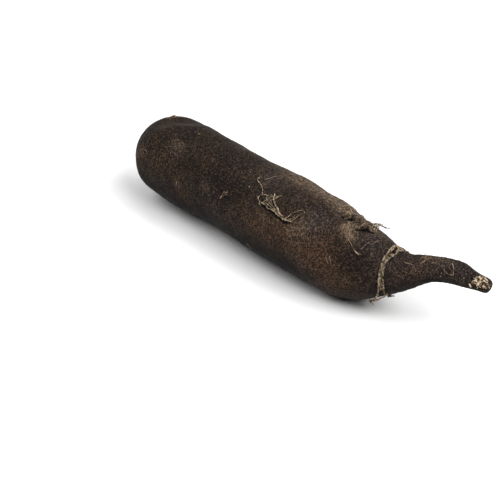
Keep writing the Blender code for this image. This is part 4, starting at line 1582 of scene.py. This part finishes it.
@dataclass
class CrownStalks:
    """What is left of the leaves at the crown: trimmed stalk stubs round the growing point."""

    form: RootForm
    stubs: int = 9
    thickness: float = 1.25
    foot_depth: float = 1.6
    # The outer round and the inner one: reach from the axis, shortest and longest stub, and lean.
    rounds: Places = table("5 1.9 2.7 0.35, 3.1 2.6 3.4 0.12")

    def build(self) -> None:
        """Makes the stubs: short squashed tubes that lean outwards, in two rounds."""
        draw = np.random.default_rng(Seed.STALKS.value)
        tubes = Tubes()
        middle, _, forward, near, up = (rows[0] for rows in self.form.centre(np.array([0.0])))
        t = np.linspace(0.0, 1.0, 8)[:, None]
        for stub in range(self.stubs):
            reach, shortest, longest, leaning = self.rounds[stub % 2]
            turn = TURN * stub / self.stubs + draw.uniform(-0.15, 0.15)
            across = np.cos(turn) * up + np.sin(turn) * near
            foot = middle - np.array(self.form.box_middle) + across * reach + forward * self.foot_depth
            length = draw.uniform(shortest, longest)
            lean = unit(-forward + across * leaning)
            radii = self.thickness * (1.0 - 0.12 * t[:, 0]) * draw.uniform(0.8, 1.1)
            tubes.add(foot + lean * length * t, radii, 12, draw.uniform(0.2, 0.6), 0.75)
        paint = DriedFibre("dried_leaf_stalk", light="#8e7656", dark="#3b2c20").material()
        dress(tubes.build("stalk_stubs"), paint)


@dataclass(frozen=True)
class Studio:
    """A plain white sweep, soft round lamps about it, and the camera."""

    target: tuple[float, float, float] = (-27.7, -11.7, -3.2)
    azimuth: float = 46.0
    elevation: float = 35.0
    distance: float = 850.0
    lens: float = 84.8
    world_strength: float = 0.02
    lamp_distance: float = 1.6
    lamp_size: float = 1.1
    # Each lamp's turn from the camera's side and its height in degrees, and its watts.
    lamps: Places = table("""
        45 48 18.8, 90 48 13, 270 48 10.4, 270 68 3.6, 135 68 6, 180 30 4""")
    floor_reach: float = 30000.0

    def towards(self, turn: float, elevation: float) -> Vector:
        """The direction to something.

        Args:
            turn: Its turn from the camera's side, in degrees.
            elevation: Its height in degrees.

        Returns:
            The direction.
        """
        around, rise = math.radians(self.azimuth + turn), math.radians(elevation)
        level = math.cos(rise)
        return Vector((math.sin(around) * level, -math.cos(around) * level, math.sin(rise)))

    def place(self, data: bpy.types.ID, towards: Vector, middle: Vector) -> bpy.types.Object:
        """Puts a camera or a lamp beside a point and turns it to face the point.

        Args:
            data: The camera or the lamp.
            towards: The way from the point to it.
            middle: The point.

        Returns:
            Its object.
        """
        made = bpy.data.objects.new(data.name, data)
        made.location = middle + towards
        made.rotation_euler = (-towards).to_track_quat("-Z", "Y").to_euler()
        bpy.context.scene.collection.objects.link(made)
        return made

    def build(self) -> None:
        """Sets up the camera, the floor, the surround and the lamps."""
        scene = bpy.context.scene
        camera = bpy.data.cameras.new("camera")
        camera.lens, camera.sensor_width = self.lens, 36.0
        towards = self.towards(0.0, self.elevation) * self.distance * MM
        scene.camera = self.place(camera, towards, Vector(self.target) * MM)
        scene.world = bpy.data.worlds.new("surround")
        scene.world.use_nodes = True
        surround = scene.world.node_tree.nodes["Background"].inputs
        surround["Color"].default_value = linear("#ffffff")
        surround["Strength"].default_value = self.world_strength
        for number, (turn, elevation, watts) in enumerate(self.lamps):
            lamp = bpy.data.lights.new(f"lamp_{number}", "AREA")
            lamp.shape, lamp.size, lamp.energy = "DISK", self.lamp_size, watts
            self.place(lamp, self.towards(turn, elevation) * self.lamp_distance, Vector())
        scene.view_settings.view_transform = "Standard"
        scene.view_settings.look = "None"
        self.floor()

    def floor(self) -> None:
        """Lays the pale floor that the root rests on. Far off, where no lamp reaches, it glows instead."""
        corners = np.array([(-1, -1, 0), (1, -1, 0), (1, 1, 0), (-1, 1, 0)]) * self.floor_reach
        made = mesh_object("floor", corners, np.array([[0, 1, 2, 3]]), smooth=False)
        paint = Paint("white_sweep")
        reach = paint.add("VectorMath", {"operation": "LENGTH"}, paint.place, out="Value")
        glow = paint.add("MapRange", SMOOTH, reach, 0.55, 1.5)
        made.data.materials.append(paint.finish(Base_Color="#ffffff", Roughness=0.9, Specular_IOR_Level=0.0,
                                                Emission_Color="#ffffff", Emission_Strength=glow))
        paint.material.cycles.emission_sampling = "NONE"


def main() -> None:
    """Builds the studio and the radish, piece by piece."""
    logging.basicConfig(level=logging.INFO, format="%(name)s %(message)s")
    form = RootForm()
    Studio().build()
    skin = Skin(form)
    skin.build()
    seed = Seed.TANGLES.value
    Rootlets(skin, "flank_strands", FLANK_LINES, ("flank_rootlets",), 12, beads=FLANK_BEADS).build()
    Rootlets(skin, "shoulder_strands", SHOULDER_LINES, ("shoulder_rootlets",), seed=seed + 1).build()
    Rootlets(skin, "neck_braid", BAND_LINES, ("neck_rootlets",), 110, (1.2, 3.4), beads=BAND_BEADS,
             seed=seed + 2).build()
    Rootlets(skin, "neck_braid_ends", BAND_END_LINES, seed=seed + 3).build()
    SkinHairs(skin).build()
    TornTip(form).build()
    CrownStalks(form).build()


if __name__ == "__main__":
    main()
